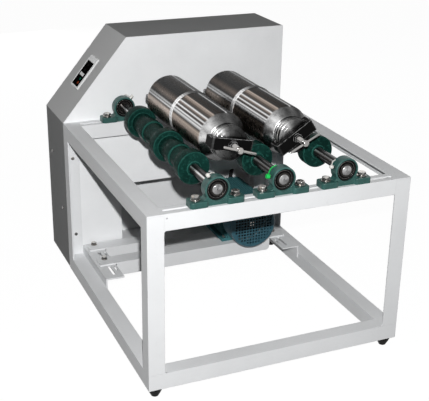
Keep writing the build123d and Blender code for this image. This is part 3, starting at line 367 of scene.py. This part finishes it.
def steel_with_painted_reflections(name, body, reflection_bands, end_reflections, split=None, reflection_bands_behind=None, rough=0.2, fine=0.35,
                   plain_inside=0.0, metal=1.0):
    """Ground and polished round steel, with painted reflections of a room streaked along it, painted highlights
    and painted shade.

    The first list gives (angle in degrees from upright to the right, colour) of the painted reflections round the
    side, the second the colours painted on faces that turn to Y, by the same angles. Behind the split (a Y in
    metres) other bands apply. Nearer the axis than plain_inside (metres) the colours of the end faces apply all
    over.
    """
    n = Nodes(name, rough, steel, metallic=metal)
    n.shader.inputs["Specular Tint"].default_value = (*steel_glint, 1)
    share, radius, along = n.axis_parts(body)

    def round_reflections(rows):
        return n.ramp(share, [((angle + 180.0) / 360.0, color) for angle, color in rows])

    reflections_and_lines = round_reflections(reflection_bands)
    if reflection_bands_behind:
        behind = n.math("GREATER_THAN", along, split)
        reflections_and_lines = n.mix(behind, reflections_and_lines, round_reflections(reflection_bands_behind))
    lines = n.noise(130.0, 3.0, 0.7, n.vector(share, n.math("MULTIPLY", along, 0.01)))
    reflections_and_lines = n.mix(fine, reflections_and_lines, n.ramp(lines, [(0.32, 0.15), (0.5, 0.75), (0.7, 1.6)]), "MULTIPLY")
    flat = n.spread(n.math("ABSOLUTE", n.facing()["Y"]), 0.0, 1.0, 0.25, 0.5)
    if plain_inside:
        flat = n.math("MAXIMUM", flat, n.spread(radius, 1.0, 0.0, plain_inside - 0.001, plain_inside))
    lathe_lines = n.noise(1500.0, 2.0, 0.7, n.vector(radius))
    blotch = n.noise(60.0, 6.0, 0.72)
    blotches = n.ramp(blotch, [(0.35, 0.35), (0.55, 1.0), (0.75, 1.3)])
    face = n.mix(0.65, round_reflections(end_reflections), blotches, "MULTIPLY")
    face = n.mix(0.3, face, n.ramp(lathe_lines, [(0.35, 0.5), (0.65, 1.4)]), "MULTIPLY")
    n.to("Base Color", n.mix(flat, reflections_and_lines, face))
    n.to("Roughness", n.spread(blotch, rough - 0.05, rough + 0.2))
    grooves = n.noise(1.0, 3.0, 0.6, n.scaled((4.0, 900.0, 4.0)))
    n.to("Normal", n.bump(grooves, 0.1, 0.0002, n.bevelled(0.0006)))
    return n.material


def plated_steel(name, color=zinc, rough=0.24):
    """Plated fasteners: bright with dull and brownish patches, and painted shade on faces that don't face up."""
    n = Nodes(name, rough, color, metallic=1.0)
    brownish = (color[0], color[1] * 0.86, color[2] * 0.72)
    stops = [(0.34, tint(color, 0.25)), (0.5, tint(color, 1.1)), (0.72, brownish)]
    tone = n.ramp(n.noise(120.0, 5.0, 0.65), stops)
    # Painted shade: faces that don't face up are darkened
    upward = n.spread(n.facing()["Z"], 0.0, 1.0, 0.5, 0.95)
    n.to("Base Color", n.mix(upward, n.mix(0.75, tone, zinc_painted_shade), tone))
    n.to("Roughness", n.spread(n.noise(240.0, 4.0), rough - 0.1, rough + 0.18))
    n.to("Normal", n.bump(n.noise(700.0, 3.0), 0.2, 0.0002, n.bevelled(0.0006)))
    return n.material


def moulded_plastic(name, color, rough=0.35, grain=0.15, specular=0.3):
    """Moulded plastic: fine spark-eroded grain and faint handling marks."""
    n = Nodes(name, rough, color, specular=specular)
    n.to("Base Color", n.ramp(n.noise(30.0, 5.0), [(0.35, tint(color, 0.9)), (0.7, color)]))
    n.to("Roughness", n.spread(n.noise(150.0, 4.0), rough - 0.06, rough + 0.1))
    n.to("Normal", n.bump(n.noise(1600.0, 2.0), grain, 0.0002, n.bevelled(0.0005)))
    return n.material


# Painted reflections, highlights and shade on the bright steel, round its axis, as (angle in degrees from upright
# to the right, colour or grey)
white, pale, grey, dark, black = 0.95, 0.6, 0.14, 0.045, 0.012
brown = (0.20, 0.165, 0.14)
front_reflections = [
    (-180, black), (-132, dark), (-112, brown), (-88, (0.34, 0.28, 0.25)), (-76, (0.5, 0.42, 0.36)),
    (-70, dark), (-66, pale), (-64, white), (-61, dark), (-58, white), (-55, dark),
    (-52, (0.12, 0.1, 0.09)), (-49, white), (-46, black), (-41, (0.30, 0.25, 0.22)), (-38, white),
    (-35, dark), (-28, (0.16, 0.13, 0.11)), (-21, (0.55, 0.46, 0.40)), (-18, dark),
    (-8, (0.04, 0.034, 0.03)), (3, black), (7, dark), (10, white), (13, dark), (22, black),
    (34, (0.05, 0.043, 0.04)), (60, dark), (100, grey), (150, dark),
]
rear_reflections = [
    (-180, black), (-135, dark), (-115, (0.16, 0.13, 0.115)), (-92, (0.6, 0.5, 0.44)),
    (-78, (0.75, 0.64, 0.57)), (-71, dark), (-68, white), (-65, grey), (-62, pale), (-58, dark),
    (-46, (0.15, 0.125, 0.11)), (-34, dark), (-20, dark), (-2, (0.04, 0.034, 0.03)), (6, dark),
    (9, white), (12, dark), (16, (0.14, 0.12, 0.11)), (20, black), (32, (0.05, 0.043, 0.04)),
    (50, dark), (90, grey), (150, dark),
]
seam_reflections = [
    (-180, 0.1), (-130, 0.3), (-112, 0.85), (-60, 0.95), (-34, 0.9), (-20, 0.4), (-6, 0.12), (10, 0.07),
    (40, 0.04), (90, 0.04), (150, 0.08),
]
shaft_reflections = [
    (-180, dark), (-120, black), (-95, 0.1), (-78, dark), (-62, (0.3, 0.27, 0.25)), (-55, white),
    (-46, white), (-40, dark), (-22, black), (-10, 0.2), (-4, black), (12, pale), (18, dark), (50, black),
    (100, 0.3), (150, dark),
]

# Painted reflections, highlights and shade on the faces that turn to the front or the rear, by the same angles
cone_end_reflections = [
    (-180, 0.10), (-150, 0.15), (-125, 0.25), (-100, 0.5), (-80, 0.75), (-62, 0.5), (-48, 0.7),
    (-35, 0.45), (-22, 0.18), (-5, 0.08), (12, 0.12), (30, 0.05), (60, 0.025), (85, 0.02), (120, 0.03),
    (150, 0.05),
]
lid_end_reflections = [
    (-180, 0.06), (-150, 0.09), (-125, 0.13), (-98, 0.2), (-80, 0.28), (-62, 0.35), (-48, 0.6),
    (-35, 0.65), (-22, 0.25), (-5, 0.1), (12, 0.07), (30, 0.04), (60, 0.025), (85, 0.02), (120, 0.03),
    (150, 0.04),
]
shaft_end_reflections = [(-180, 0.2), (-120, 0.3), (-60, 0.55), (0, 0.25), (60, 0.45), (120, 0.2), (150, 0.2)]

# Finishes by slot
materials = {
    "frame_paint": powder_coat("frame_paint", white_paint, 0.38),
    "cabinet_paint": powder_coat("cabinet_paint", panel_paint, 0.4, grime=0.2, specular=0.12),
    "foot_rubber": moulded_rubber("foot_rubber", foot_black, 0.6, speckle=0.3, specular=0.1),
    "zinc_steel": plated_steel("zinc_steel"),
    "polished_steel": turned_steel("polished_steel", steel, 0.2, lines=700.0),
    "cast_green": enamel_casting("cast_green", casting_green),
    "bearing_steel": moulded_rubber("bearing_seal", deep_black, 0.34, speckle=0.1, specular=0.02),
    "roller_rubber": moulded_rubber("roller_rubber", sleeve_green, 0.24, specular=0.02, pale=6.5, rim_highlight=0.55),
    "motor_paint": enamel_casting("motor_paint", motor_teal, 0.34, pale=1.6, specular=0.2),
    "pulley_iron": turned_steel("pulley_iron", dark_steel, 0.42, lines=900.0),
    "belt_rubber": moulded_rubber("belt_rubber", belt_black, 0.65, speckle=0.4, specular=0.1),
    "clamp_black": powder_coat("clamp_black", deep_black, 0.3, grime=0.1, specular=0.03,
                               round_edge=0.0025, edge_wear_and_highlight=0.6),
    "bezel_grey": moulded_plastic("bezel_grey", (0.78, 0.79, 0.79), 0.38),
    "face_black": moulded_plastic("face_black", deep_black, 0.22, grain=0.05, specular=0.0),
    "display": moulded_plastic("display", (0.9, 0.92, 0.91), 0.12, grain=0.02),
    "key_green": moulded_plastic("key_green", (0.012, 0.12, 0.08), 0.25, specular=0.0),
    "key_red": moulded_plastic("key_red", (0.28, 0.05, 0.02), 0.25, specular=0.0),
    "key_grey": moulded_plastic("key_grey", plastic_black, 0.3, grain=0.1, specular=0.0),
    "inlet_black": moulded_plastic("inlet_black", plastic_black, 0.4, specular=0.15),
    "fan_plastic": moulded_plastic("fan_plastic", plastic_black, 0.45, specular=0.15),
    "cap_green": moulded_plastic("cap_green", (0.008, 0.55, 0.09), 0.3, grain=0.05),
    "gasket": moulded_rubber("gasket", (0.6, 0.56, 0.48), 0.6, speckle=0.2),
}

# Finishes of single pieces
# The shell: painted shade in its darker grey, and a painted highlight on its sloping face
shell_shaded_and_highlighted = powder_coat("shell_paint_shaded", shell_paint_shaded, grime=0.25, specular=0.005, slope_highlight=0.55)
# Painted light: the finned motor body in a brighter copy of the motor's paint
fin_paint_lit = enamel_casting("fin_paint_lit", fin_teal_lit, 0.34, pale=1.6, specular=0.02)
# Painted shade: the bearings' inner rings made near black, as they sit shaded in the bore
ring_steel_shaded = turned_steel("ring_steel_shaded", (0.035, 0.033, 0.031), 0.28, lines=500.0)
handle_steel = turned_steel("handle_steel", (0.42, 0.41, 0.40), 0.16, lines=300.0, stain=0.6)
bare_shield = turned_steel("bare_shield", (0.7, 0.7, 0.68), 0.45, lines=60.0)
cap_white = moulded_plastic("cap_white", (0.75, 0.74, 0.7), 0.3, grain=0.05)
# Jars, lids, seam bands and roller shafts get these painted reflections, highlights and shade round their axes
jar_steel, lid_steel, seam_steel = {}, {}, {}
for name in jar_x:
    body = name + "_jar"
    jar_steel[name] = steel_with_painted_reflections(
        name + "_jar_steel", body, front_reflections, cone_end_reflections, split=(jar_face[name] + seam_middle) * mm,
        reflection_bands_behind=rear_reflections, plain_inside=mouth_reach * mm,
    )
    lid_steel[name] = steel_with_painted_reflections(
        name + "_lid_steel", body, front_reflections, lid_end_reflections, plain_inside=mouth_reach * mm,
    )
    seam_steel[name] = steel_with_painted_reflections(
        name + "_seam_steel", body, seam_reflections, cone_end_reflections, rough=0.4, fine=0.6,
    )
shaft_steel = {
    name: steel_with_painted_reflections(
        name + "_shaft_steel", name + "_roller", shaft_reflections, shaft_end_reflections, rough=0.16, metal=0.8,
    )
    for name in roller_x
}


def repaint(name, material):
    """Give a piece of the CAD model one material."""
    mesh = nodes[name].data
    mesh.materials.clear()
    mesh.materials.append(material)


for row in frame["record"]["subparts"]:
    repaint(row["node"], materials[row["material_slot"]])
repaint("cabinet_shell", shell_shaded_and_highlighted)
repaint("motor_end_shields", bare_shield)
repaint("motor_body", fin_paint_lit)
for name in roller_x:
    repaint(name + "_roller_inner_rings", ring_steel_shaded)


def soften(obj, angle=crease):
    """Smooth shading with creases kept where faces meet sharply."""
    mesh = obj.data
    mesh.polygons.foreach_set("use_smooth", [True] * len(mesh.polygons))
    mesh.set_sharp_from_angle(angle=math.radians(angle))


for node in nodes.values():
    soften(node)


def add_piece(name, shape, body, slot, replaced=(), material=None, angle=crease):
    """Link a finished bmesh as a piece that rides on a body and takes a slot's finish."""
    mesh = bpy.data.meshes.new(name)
    bmesh.ops.recalc_face_normals(shape, faces=shape.faces)
    shape.to_mesh(mesh)
    shape.free()
    obj = bpy.data.objects.new(name, mesh)
    scene.collection.objects.link(obj)
    mesh.materials.append(material or materials[slot])
    soften(obj, angle)
    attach(obj, body)
    if replaced:
        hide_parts(*replaced)


def rounded(points, steps=3):
    """Profile with rounded corners, from (radius, along, corner radius) points, in millimetres."""
    count = len(points)
    result = []
    for k, (r, y, corner) in enumerate(points):
        if corner <= 0 or k in (0, count - 1):
            result.append((r, y))
            continue
        here = Vector((r, y))
        before = Vector(points[k - 1][:2]) - here
        after = Vector(points[k + 1][:2]) - here
        cut = min(corner, before.length * 0.49, after.length * 0.49)
        first, last = here + before.normalized() * cut, here + after.normalized() * cut
        for step in range(steps + 1):
            t = step / steps
            point = first.lerp(here, t).lerp(here.lerp(last, t), t)
            result.append((point.x, point.y))
    return result


def lathe(points, x, y, z, steps=96, closed=False):
    """Turned bmesh about a line along Y, from (radius, along) points in millimetres."""
    shape = bmesh.new()
    rings = []
    for radius, along in points:
        if radius < 1e-6:
            rings.append([shape.verts.new((x * mm, (y + along) * mm, z * mm))])
            continue
        ring = []
        for k in range(steps):
            a = 2 * math.pi * k / steps
            ring.append(shape.verts.new(
                ((x + radius * math.cos(a)) * mm, (y + along) * mm, (z + radius * math.sin(a)) * mm)
            ))
        rings.append(ring)
    pairs = list(zip(rings, rings[1:]))
    if closed:
        pairs.append((rings[-1], rings[0]))
    for low, high in pairs:
        for k in range(steps):
            corners = []
            for ring, index in ((low, k), (low, k + 1), (high, k + 1), (high, k)):
                vert = ring[index % len(ring)] if len(ring) > 1 else ring[0]
                if vert not in corners:
                    corners.append(vert)
            if len(corners) > 2:
                shape.faces.new(corners)
    return shape


def join(target, source, matrix=None):
    """Move one bmesh into another, through a matrix if one is given."""
    if matrix is not None:
        bmesh.ops.transform(source, matrix=matrix, verts=source.verts)
    mesh = bpy.data.meshes.new("join")
    source.to_mesh(mesh)
    source.free()
    target.from_mesh(mesh)
    bpy.data.meshes.remove(mesh)


def upright_lathe(points, steps=48):
    """Turned bmesh about Z at the origin, from (radius, height) points in millimetres."""
    shape = lathe(points, 0, 0, 0, steps)
    bmesh.ops.rotate(shape, verts=shape.verts, matrix=Matrix.Rotation(math.radians(90), 3, "X"))
    return shape


def hex_head(across, height, dish=1.4):
    """Hexagon head with its corners turned down to a chamfer, standing on z = 0, in millimetres."""
    shape = bmesh.new()
    count = 24
    half = across / 2
    corner = half / math.cos(math.radians(30))
    flat = half * 0.94
    chamfer = 0.3
    rows = [[], [], [], []]
    for k in range(count):
        degrees = k * 360 / count
        a = math.radians(degrees)
        reach = half / math.cos(math.radians(degrees % 60 - 30))
        drop = (reach - half) / (corner - half) * dish
        places = ((reach, 0), (reach, height - chamfer - drop), (flat, height), (flat * 0.9, height))
        for row, (radius, z) in zip(rows, places):
            row.append(shape.verts.new((radius * math.cos(a) * mm, radius * math.sin(a) * mm, z * mm)))
    for first, second in zip(rows, rows[1:]):
        for k in range(count):
            shape.faces.new((first[k], first[(k + 1) % count], second[(k + 1) % count], second[k]))
    shape.faces.new(rows[-1])
    shape.faces.new(list(reversed(rows[0])))
    return shape


def hex_bolt(across, head, washer, washer_height, radius, grip, nut):
    """Hex bolt with a washer, a split lock washer, its shank and a nut below, seated at z = 0.

    washer and radius are radii, the others are lengths, all in millimetres.
    """
    pitch = 1.2
    lock = min(1.8, head * 0.25)
    lock_radius = across * 0.45
    under_head = washer_height + lock
    shape = hex_head(across, head - lock)
    bmesh.ops.translate(shape, verts=shape.verts, vec=(0, 0, under_head * mm))
    flat_washer = [
        (radius, 0, 0), (washer, 0, 0.4), (washer, washer_height, 0.5), (radius, washer_height, 0),
    ]
    lock_washer = [
        (radius, washer_height, 0), (lock_radius, washer_height, 0.3), (lock_radius, under_head, 0.3),
        (radius, under_head, 0),
    ]
    for profile in (flat_washer, lock_washer):
        join(shape, upright_lathe(rounded(profile)))
    shank = [(0, 0.1), (radius, 0)]
    level = 0.0
    while level > -(grip + nut + 0.5):
        shank += [(radius, level), (radius * 0.88, level - pitch / 2)]
        level -= pitch
    shank.append((0, level))
    join(shape, upright_lathe(shank, 24))
    below = hex_head(across, nut)
    bmesh.ops.rotate(below, verts=below.verts, matrix=Matrix.Rotation(math.pi, 3, "X"))
    bmesh.ops.translate(below, verts=below.verts, vec=(0, 0, -grip * mm))
    join(shape, below)
    return shape


def build_jars():
    """Fine turned jars and lids in place of the CAD ones, their seam bands and the bars behind them."""
    # Profiles, as (radius, along, corner radius)
    outer = [
        (34, jar_mouth, 0), (42, jar_mouth, 0.8), (42, 19.5, 0.8), (38, 19.5, 1.2), (38, 27.5, 1.2),
        (43, 27.5, 1.5), (jar_radius, 53.5, 5), (jar_radius, 227, 0),
    ]
    behind = [
        (jar_radius, 240, 0), (jar_radius, 403, 0), (59.2, 407, 1.5), (54, jar_length, 2), (0, jar_length, 0),
    ]
    inner = [
        (0, 403, 0), (51, 403, 4), (57, 397, 4), (57, 54.5, 4), (34, 29.5, 2), (34, jar_mouth, 0),
    ]
    band = [
        (jar_radius, seam_start, 0), (61.0, 226.2, 0.4), (61.2, 229, 0.6), (60.9, seam_middle, 1),
        (61.2, 237, 0.6), (61.0, 240.8, 0.4), (jar_radius, seam_end, 0),
    ]
    lid = [
        (0, 0, 0), (30.6, 0, 0), (31, 0.5, 0.2), (31.6, 0.5, 0.2), (32, 0, 0), (40.6, 0, 0.6),
        (41.5, 0.9, 0.6), (41.5, 10, 0.5), (33.6, 10, 0), (33.6, 16.5, 0.5), (0, 16.5, 0),
    ]
    rear_bar = (116.0, 7.0, 18.0)
    bar_gap = 12.0
    bar_boss = [(0, -0.3, 0), (9, -0.3, 0.4), (9, 9, 0), (0, 9, 0)]
    for name, x in jar_x.items():
        body = name + "_jar"
        place = (x, jar_face[name], axis_place(body)[1] / mm)
        shell = lathe(rounded(outer) + rounded(behind), *place, steps=128)
        join(shell, lathe(rounded(inner), *place, steps=96))
        add_piece(name + "_jar_turned", shell, body, "polished_steel", (name + "_jar_shell",),
                  jar_steel[name], 50)
        add_piece(name + "_seam_band", lathe(rounded(band), *place, steps=128), body, "polished_steel", (),
                  seam_steel[name], 60)
        add_piece(name + "_lid_turned", lathe(rounded(lid), *place, steps=128), body, "polished_steel",
                  (name + "_jar_lid",), lid_steel[name], 40)
        rear = place[1] + jar_length
        bar = bmesh.new()
        bmesh.ops.create_cube(bar, size=1.0)
        bmesh.ops.scale(bar, vec=tuple(length * mm for length in rear_bar), verts=bar.verts)
        bmesh.ops.bevel(bar, geom=bar.edges[:], offset=1.2 * mm, segments=3, affect="EDGES")
        bmesh.ops.translate(bar, vec=(x * mm, (rear + bar_gap) * mm, place[2] * mm), verts=bar.verts)
        join(bar, lathe(rounded(bar_boss), x, rear, place[2], 32))
        add_piece(name + "_jar_rear_bar", bar, body, "clamp_black")


def build_rollers():
    """Fine turned sleeves and shafts in place of the CAD ones."""
    collar, waist = 17.0, 28.0
    rings = [
        (147, 33, 40, 3.0), (235, 35, 31, 1.5), (312, 33, 40, 3.0), (425, 35, 31, 1.5), (512, 33, 40, 3.0),
    ]
    sleeve = [(shaft_radius, sleeve_start, 0), (collar, sleeve_start, 0.6), (collar, rings[0][0], 0.6)]
    for start, length, radius, corner in rings:
        if start > rings[0][0]:
            sleeve.append((waist, start, 0.8))
        sleeve += [(radius, start, corner), (radius, start + length, corner)]
        if start < rings[-1][0]:
            sleeve.append((waist, start + length, 0.8))
    sleeve += [(collar, 545, 0.6), (collar, sleeve_end, 0.6), (shaft_radius, sleeve_end, 0)]
    start, end = shaft_start, shaft_end
    shaft = [
        (0, start + 3.0, 0), (1.0, start + 2.6, 0), (1.0, start + 1.6, 0), (2.4, start, 0.2),
        (11.3, start, 0.3), (shaft_radius, start + 1.2, 0.3), (shaft_radius, end - 1.2, 0.3),
        (11.3, end, 0.3), (3.6, end, 0.2), (1.6, end - 3.4, 0), (0, end - 5.5, 0),
    ]
    for name, x in roller_x.items():
        body = name + "_roller"
        place = (x, y_front, z_shaft)
        add_piece(name + "_sleeve_turned", lathe(rounded(sleeve, 4), *place, 96), body, "roller_rubber",
                  (name + "_roller_sleeve",), None, 45)
        add_piece(name + "_shaft_turned", lathe(rounded(shaft), *place, 64), body, "polished_steel",
                  (name + "_roller_shaft",), shaft_steel[name], 40)


def build_bolts():
    """Detailed hex bolts in place of the CAD ones on the blocks, each stopped at some angle."""
    size = {
        "across": 18.0, "head": 8.0, "washer": 11.5, "washer_height": 2.0, "radius": 5.0, "grip": 18.0,
        "nut": 6.5,
    }
    shape = bmesh.new()
    for x in roller_x.values():
        for y in block_y.values():
            for side in (-1, 1):
                seat = Matrix.Translation(((x + side * bolt_reach) * mm, y * mm, bolt_seat * mm))
                turn = Matrix.Rotation(math.radians(random.uniform(0, 60)), 4, "Z")
                join(shape, hex_bolt(**size), seat @ turn)
    add_piece("block_bolts_fine", shape, "frame", "zinc_steel", ("block_bolts",))


def build_clamp_screws():
    """Threaded clamp screws, each with a barrel hub and a straight cross handle through it."""
    thread_radius, root_radius, pitch = 6.0, 5.3, 1.7
    thread_end, hub_start, hub_middle, hub_end = -44.0, -45.0, -52.0, -59.0
    bar_radius, bar_reach = 2.7, 42.5
    level = -0.3
    screw = [(0, level, 0)]
    while level > thread_end:
        screw += [(thread_radius, level, 0), (root_radius, level - pitch / 2, 0)]
        level -= pitch
    screw += [
        (root_radius, hub_start, 0), (6.6, hub_start, 0.8), (7.6, -48.5, 2.0), (7.6, -55.5, 2.0),
        (6.2, hub_end, 1.2), (0, hub_end, 0),
    ]
    handle = [(0, -bar_reach, 0), (bar_radius, -bar_reach, 1.4), (bar_radius, bar_reach, 1.4),
              (0, bar_reach, 0)]
    for name, degrees in handle_turn.items():
        shape = lathe(rounded(screw), 0, 0, 0, 48)
        bar = lathe(rounded(handle, 4), 0, 0, 0, 32)
        turn = Matrix.Rotation(math.radians(-degrees), 4, "Y") @ Matrix.Rotation(math.radians(90), 4, "Z")
        join(shape, bar, Matrix.Translation((0, hub_middle * mm, 0)) @ turn)
        place = Matrix.Translation((jar_x[name] * mm, jar_face[name] * mm, axis_place(name + "_jar")[1]))
        bmesh.ops.transform(shape, matrix=place, verts=shape.verts)
        add_piece(name + "_screw_turned", shape, name + "_screw", "zinc_steel", (name + "_clamp_screw",),
                  handle_steel)


def build_seals():
    """Thin steel lip round the seal of each bearing, on both sides."""
    inner, outer, depth = 20.6, 21.5, 0.5
    seal_reach = 8.0
    for name, x in roller_x.items():
        shape = bmesh.new()
        for y in block_y.values():
            for side in (-1, 1):
                lip = [
                    (inner, 0, 0), (inner, side * depth, 0.2), (outer, side * depth, 0.2), (outer, 0, 0),
                ]
                join(shape, lathe(rounded(lip), x, y + side * seal_reach, z_shaft, 64, True))
        add_piece("seal_lips_" + name, shape, "frame", "bearing_steel", (), materials["zinc_steel"])


def strap(points, width, thickness, x_side):
    """Thin strap along points (x, y, z) in millimetres, with its width along x_side."""
    shape = bmesh.new()
    rows = []
    count = len(points)
    for k, point in enumerate(points):
        here = Vector(point)
        ahead = Vector(points[min(k + 1, count - 1)]) - Vector(points[max(k - 1, 0)])
        across = Vector(x_side).normalized()
        outward = ahead.cross(across).normalized()
        row = []
        for a, b in ((-1, -1), (1, -1), (1, 1), (-1, 1)):
            row.append(shape.verts.new(
                (here + across * a * width / 2 + outward * b * thickness / 2) * mm
            ))
        rows.append(row)
    for low, high in zip(rows, rows[1:]):
        for k in range(4):
            shape.faces.new((low[k], low[(k + 1) % 4], high[(k + 1) % 4], high[k]))
    shape.faces.new(rows[0])
    shape.faces.new(list(reversed(rows[-1])))
    return shape


def build_caps():
    """Soft caps on the grease nipples, each held by a thin strap round the block's head.

    The green cap on the middle block is in the CAD model, so only its strap is built here.
    """
    cap = [(0, 3.2, 0), (4.4, 3.2, 0.5), (4.8, 9.0, 1.4), (3.0, 11.5, 1.0), (0, 11.5, 0)]
    cap_reach, strap_reach, strap_lift, strap_end_lift = 30.0, 31.4, 2.6, 2.0
    strap_shift, strap_width, strap_thickness = 8.0, 2.6, 1.3
    steps, strap_start = 12, 5.0
    # Name, roller, block, and the nipple's angle in degrees from upright to the right
    rows = [
        ("left", "left", "front", -31.0), ("middle", "middle", "front", -76.0),
        ("right", "right", "front", -74.0), ("rear_left", "left", "rear", 42.0),
    ]
    for name, roller, block, degrees in rows:
        x, y = roller_x[roller], block_y[block]
        angle = math.radians(degrees)
        green = name == "middle"
        if not green:
            outward = Vector((math.sin(angle), 0, math.cos(angle)))
            place = Matrix.Translation(Vector((x, y, z_shaft)) * mm + outward * cap_reach * mm)
            shape = upright_lathe(rounded(cap), 24)
            bmesh.ops.transform(shape, matrix=place @ Matrix.Rotation(angle, 4, "Y"), verts=shape.verts)
            add_piece("cap_" + name, shape, "frame", "cap_green", (), cap_white)
        along = -1 if degrees > 0 else 1
        stride = 4.2 if green else 2.2
        points = []
        for k in range(steps + 1):
            a = angle + along * math.radians(strap_start + k * stride)
            lift = strap_reach + strap_lift * math.sin(k / steps * math.pi)
            lift += strap_end_lift if k == 0 else 0.0
            points.append((x + lift * math.sin(a), y + strap_shift, z_shaft + lift * math.cos(a)))
        add_piece("cap_strap_" + name, strap(points, strap_width, strap_thickness, (0, 1, 0)), "frame",
                  "cap_green", (), None if green else cap_white)


def seen_rays(tree, low, high):
    """high for camera, glossy and transmission rays, low for the rest."""
    rays = tree.nodes.new("ShaderNodeLightPath")
    value = rays.outputs["Is Camera Ray"]
    for name in ("Is Glossy Ray", "Is Transmission Ray"):
        either = tree.nodes.new("ShaderNodeMath")
        either.operation = "MAXIMUM"
        tree.links.new(value, either.inputs[0])
        tree.links.new(rays.outputs[name], either.inputs[1])
        value = either.outputs[0]
    strength = tree.nodes.new("ShaderNodeMapRange")
    strength.inputs["To Min"].default_value = low
    strength.inputs["To Max"].default_value = high
    tree.links.new(value, strength.inputs["Value"])
    return strength.outputs["Result"]


def build_stage():
    """Pale floor and a white surround that the camera and reflections see."""
    mesh = bpy.data.meshes.new("floor")
    corners = [(a * floor_reach, b * floor_reach, 0) for a, b in ((-1, -1), (1, -1), (1, 1), (-1, 1))]
    mesh.from_pydata(corners, [], [(0, 1, 2, 3)])
    floor = bpy.data.objects.new("floor", mesh)
    scene.collection.objects.link(floor)
    material = bpy.data.materials.new("floor_white")
    material.use_nodes = True
    tree = material.node_tree
    shader = tree.nodes["Principled BSDF"]
    shader.inputs["Base Color"].default_value = (floor_grey, floor_grey, floor_grey, 1)
    shader.inputs["Roughness"].default_value = 0.9
    shader.inputs["Specular IOR Level"].default_value = 0.0
    shader.inputs["Emission Color"].default_value = (1, 1, 1, 1)
    tree.links.new(seen_rays(tree, floor_light, floor_seen), shader.inputs["Emission Strength"])
    mesh.materials.append(material)

    world = bpy.data.worlds.new("surround")
    world.use_nodes = True
    scene.world = world
    tree = world.node_tree
    background = tree.nodes["Background"]
    background.inputs["Color"].default_value = (1, 1, 1, 1)
    tree.links.new(seen_rays(tree, surround_light, surround_seen), background.inputs["Strength"])


def build_lights():
    """One lamp above the camera, as a flash stands, and two low ones for the sides it doesn't reach."""
    for name, (place, size, power) in lamps.items():
        light = bpy.data.lights.new(name, "AREA")
        light.shape = "SQUARE"
        light.size = size
        light.energy = power
        lamp = bpy.data.objects.new(name, light)
        lamp.location = place
        lamp.rotation_euler = (Vector(lamp_target) - Vector(place)).to_track_quat("-Z", "Y").to_euler()
        scene.collection.objects.link(lamp)


def build_camera():
    """Camera that shows the machine as the photo does."""
    data = bpy.data.cameras.new("camera")
    data.sensor_fit = "HORIZONTAL"
    data.sensor_width = sensor
    data.lens = focal_pixels / photo_width * sensor
    data.clip_end = 50
    camera = bpy.data.objects.new("camera", data)
    heading = (camera_target - camera_place).to_track_quat("-Z", "Y").to_matrix().to_4x4()
    camera.matrix_world = Matrix.Translation(camera_place) @ heading @ Matrix.Rotation(camera_roll, 4, "Z")
    scene.collection.objects.link(camera)
    scene.camera = camera


build_jars()
build_rollers()
build_bolts()
build_clamp_screws()
build_seals()
build_caps()
build_stage()
build_lights()
build_camera()
scene.view_settings.view_transform = "Standard"
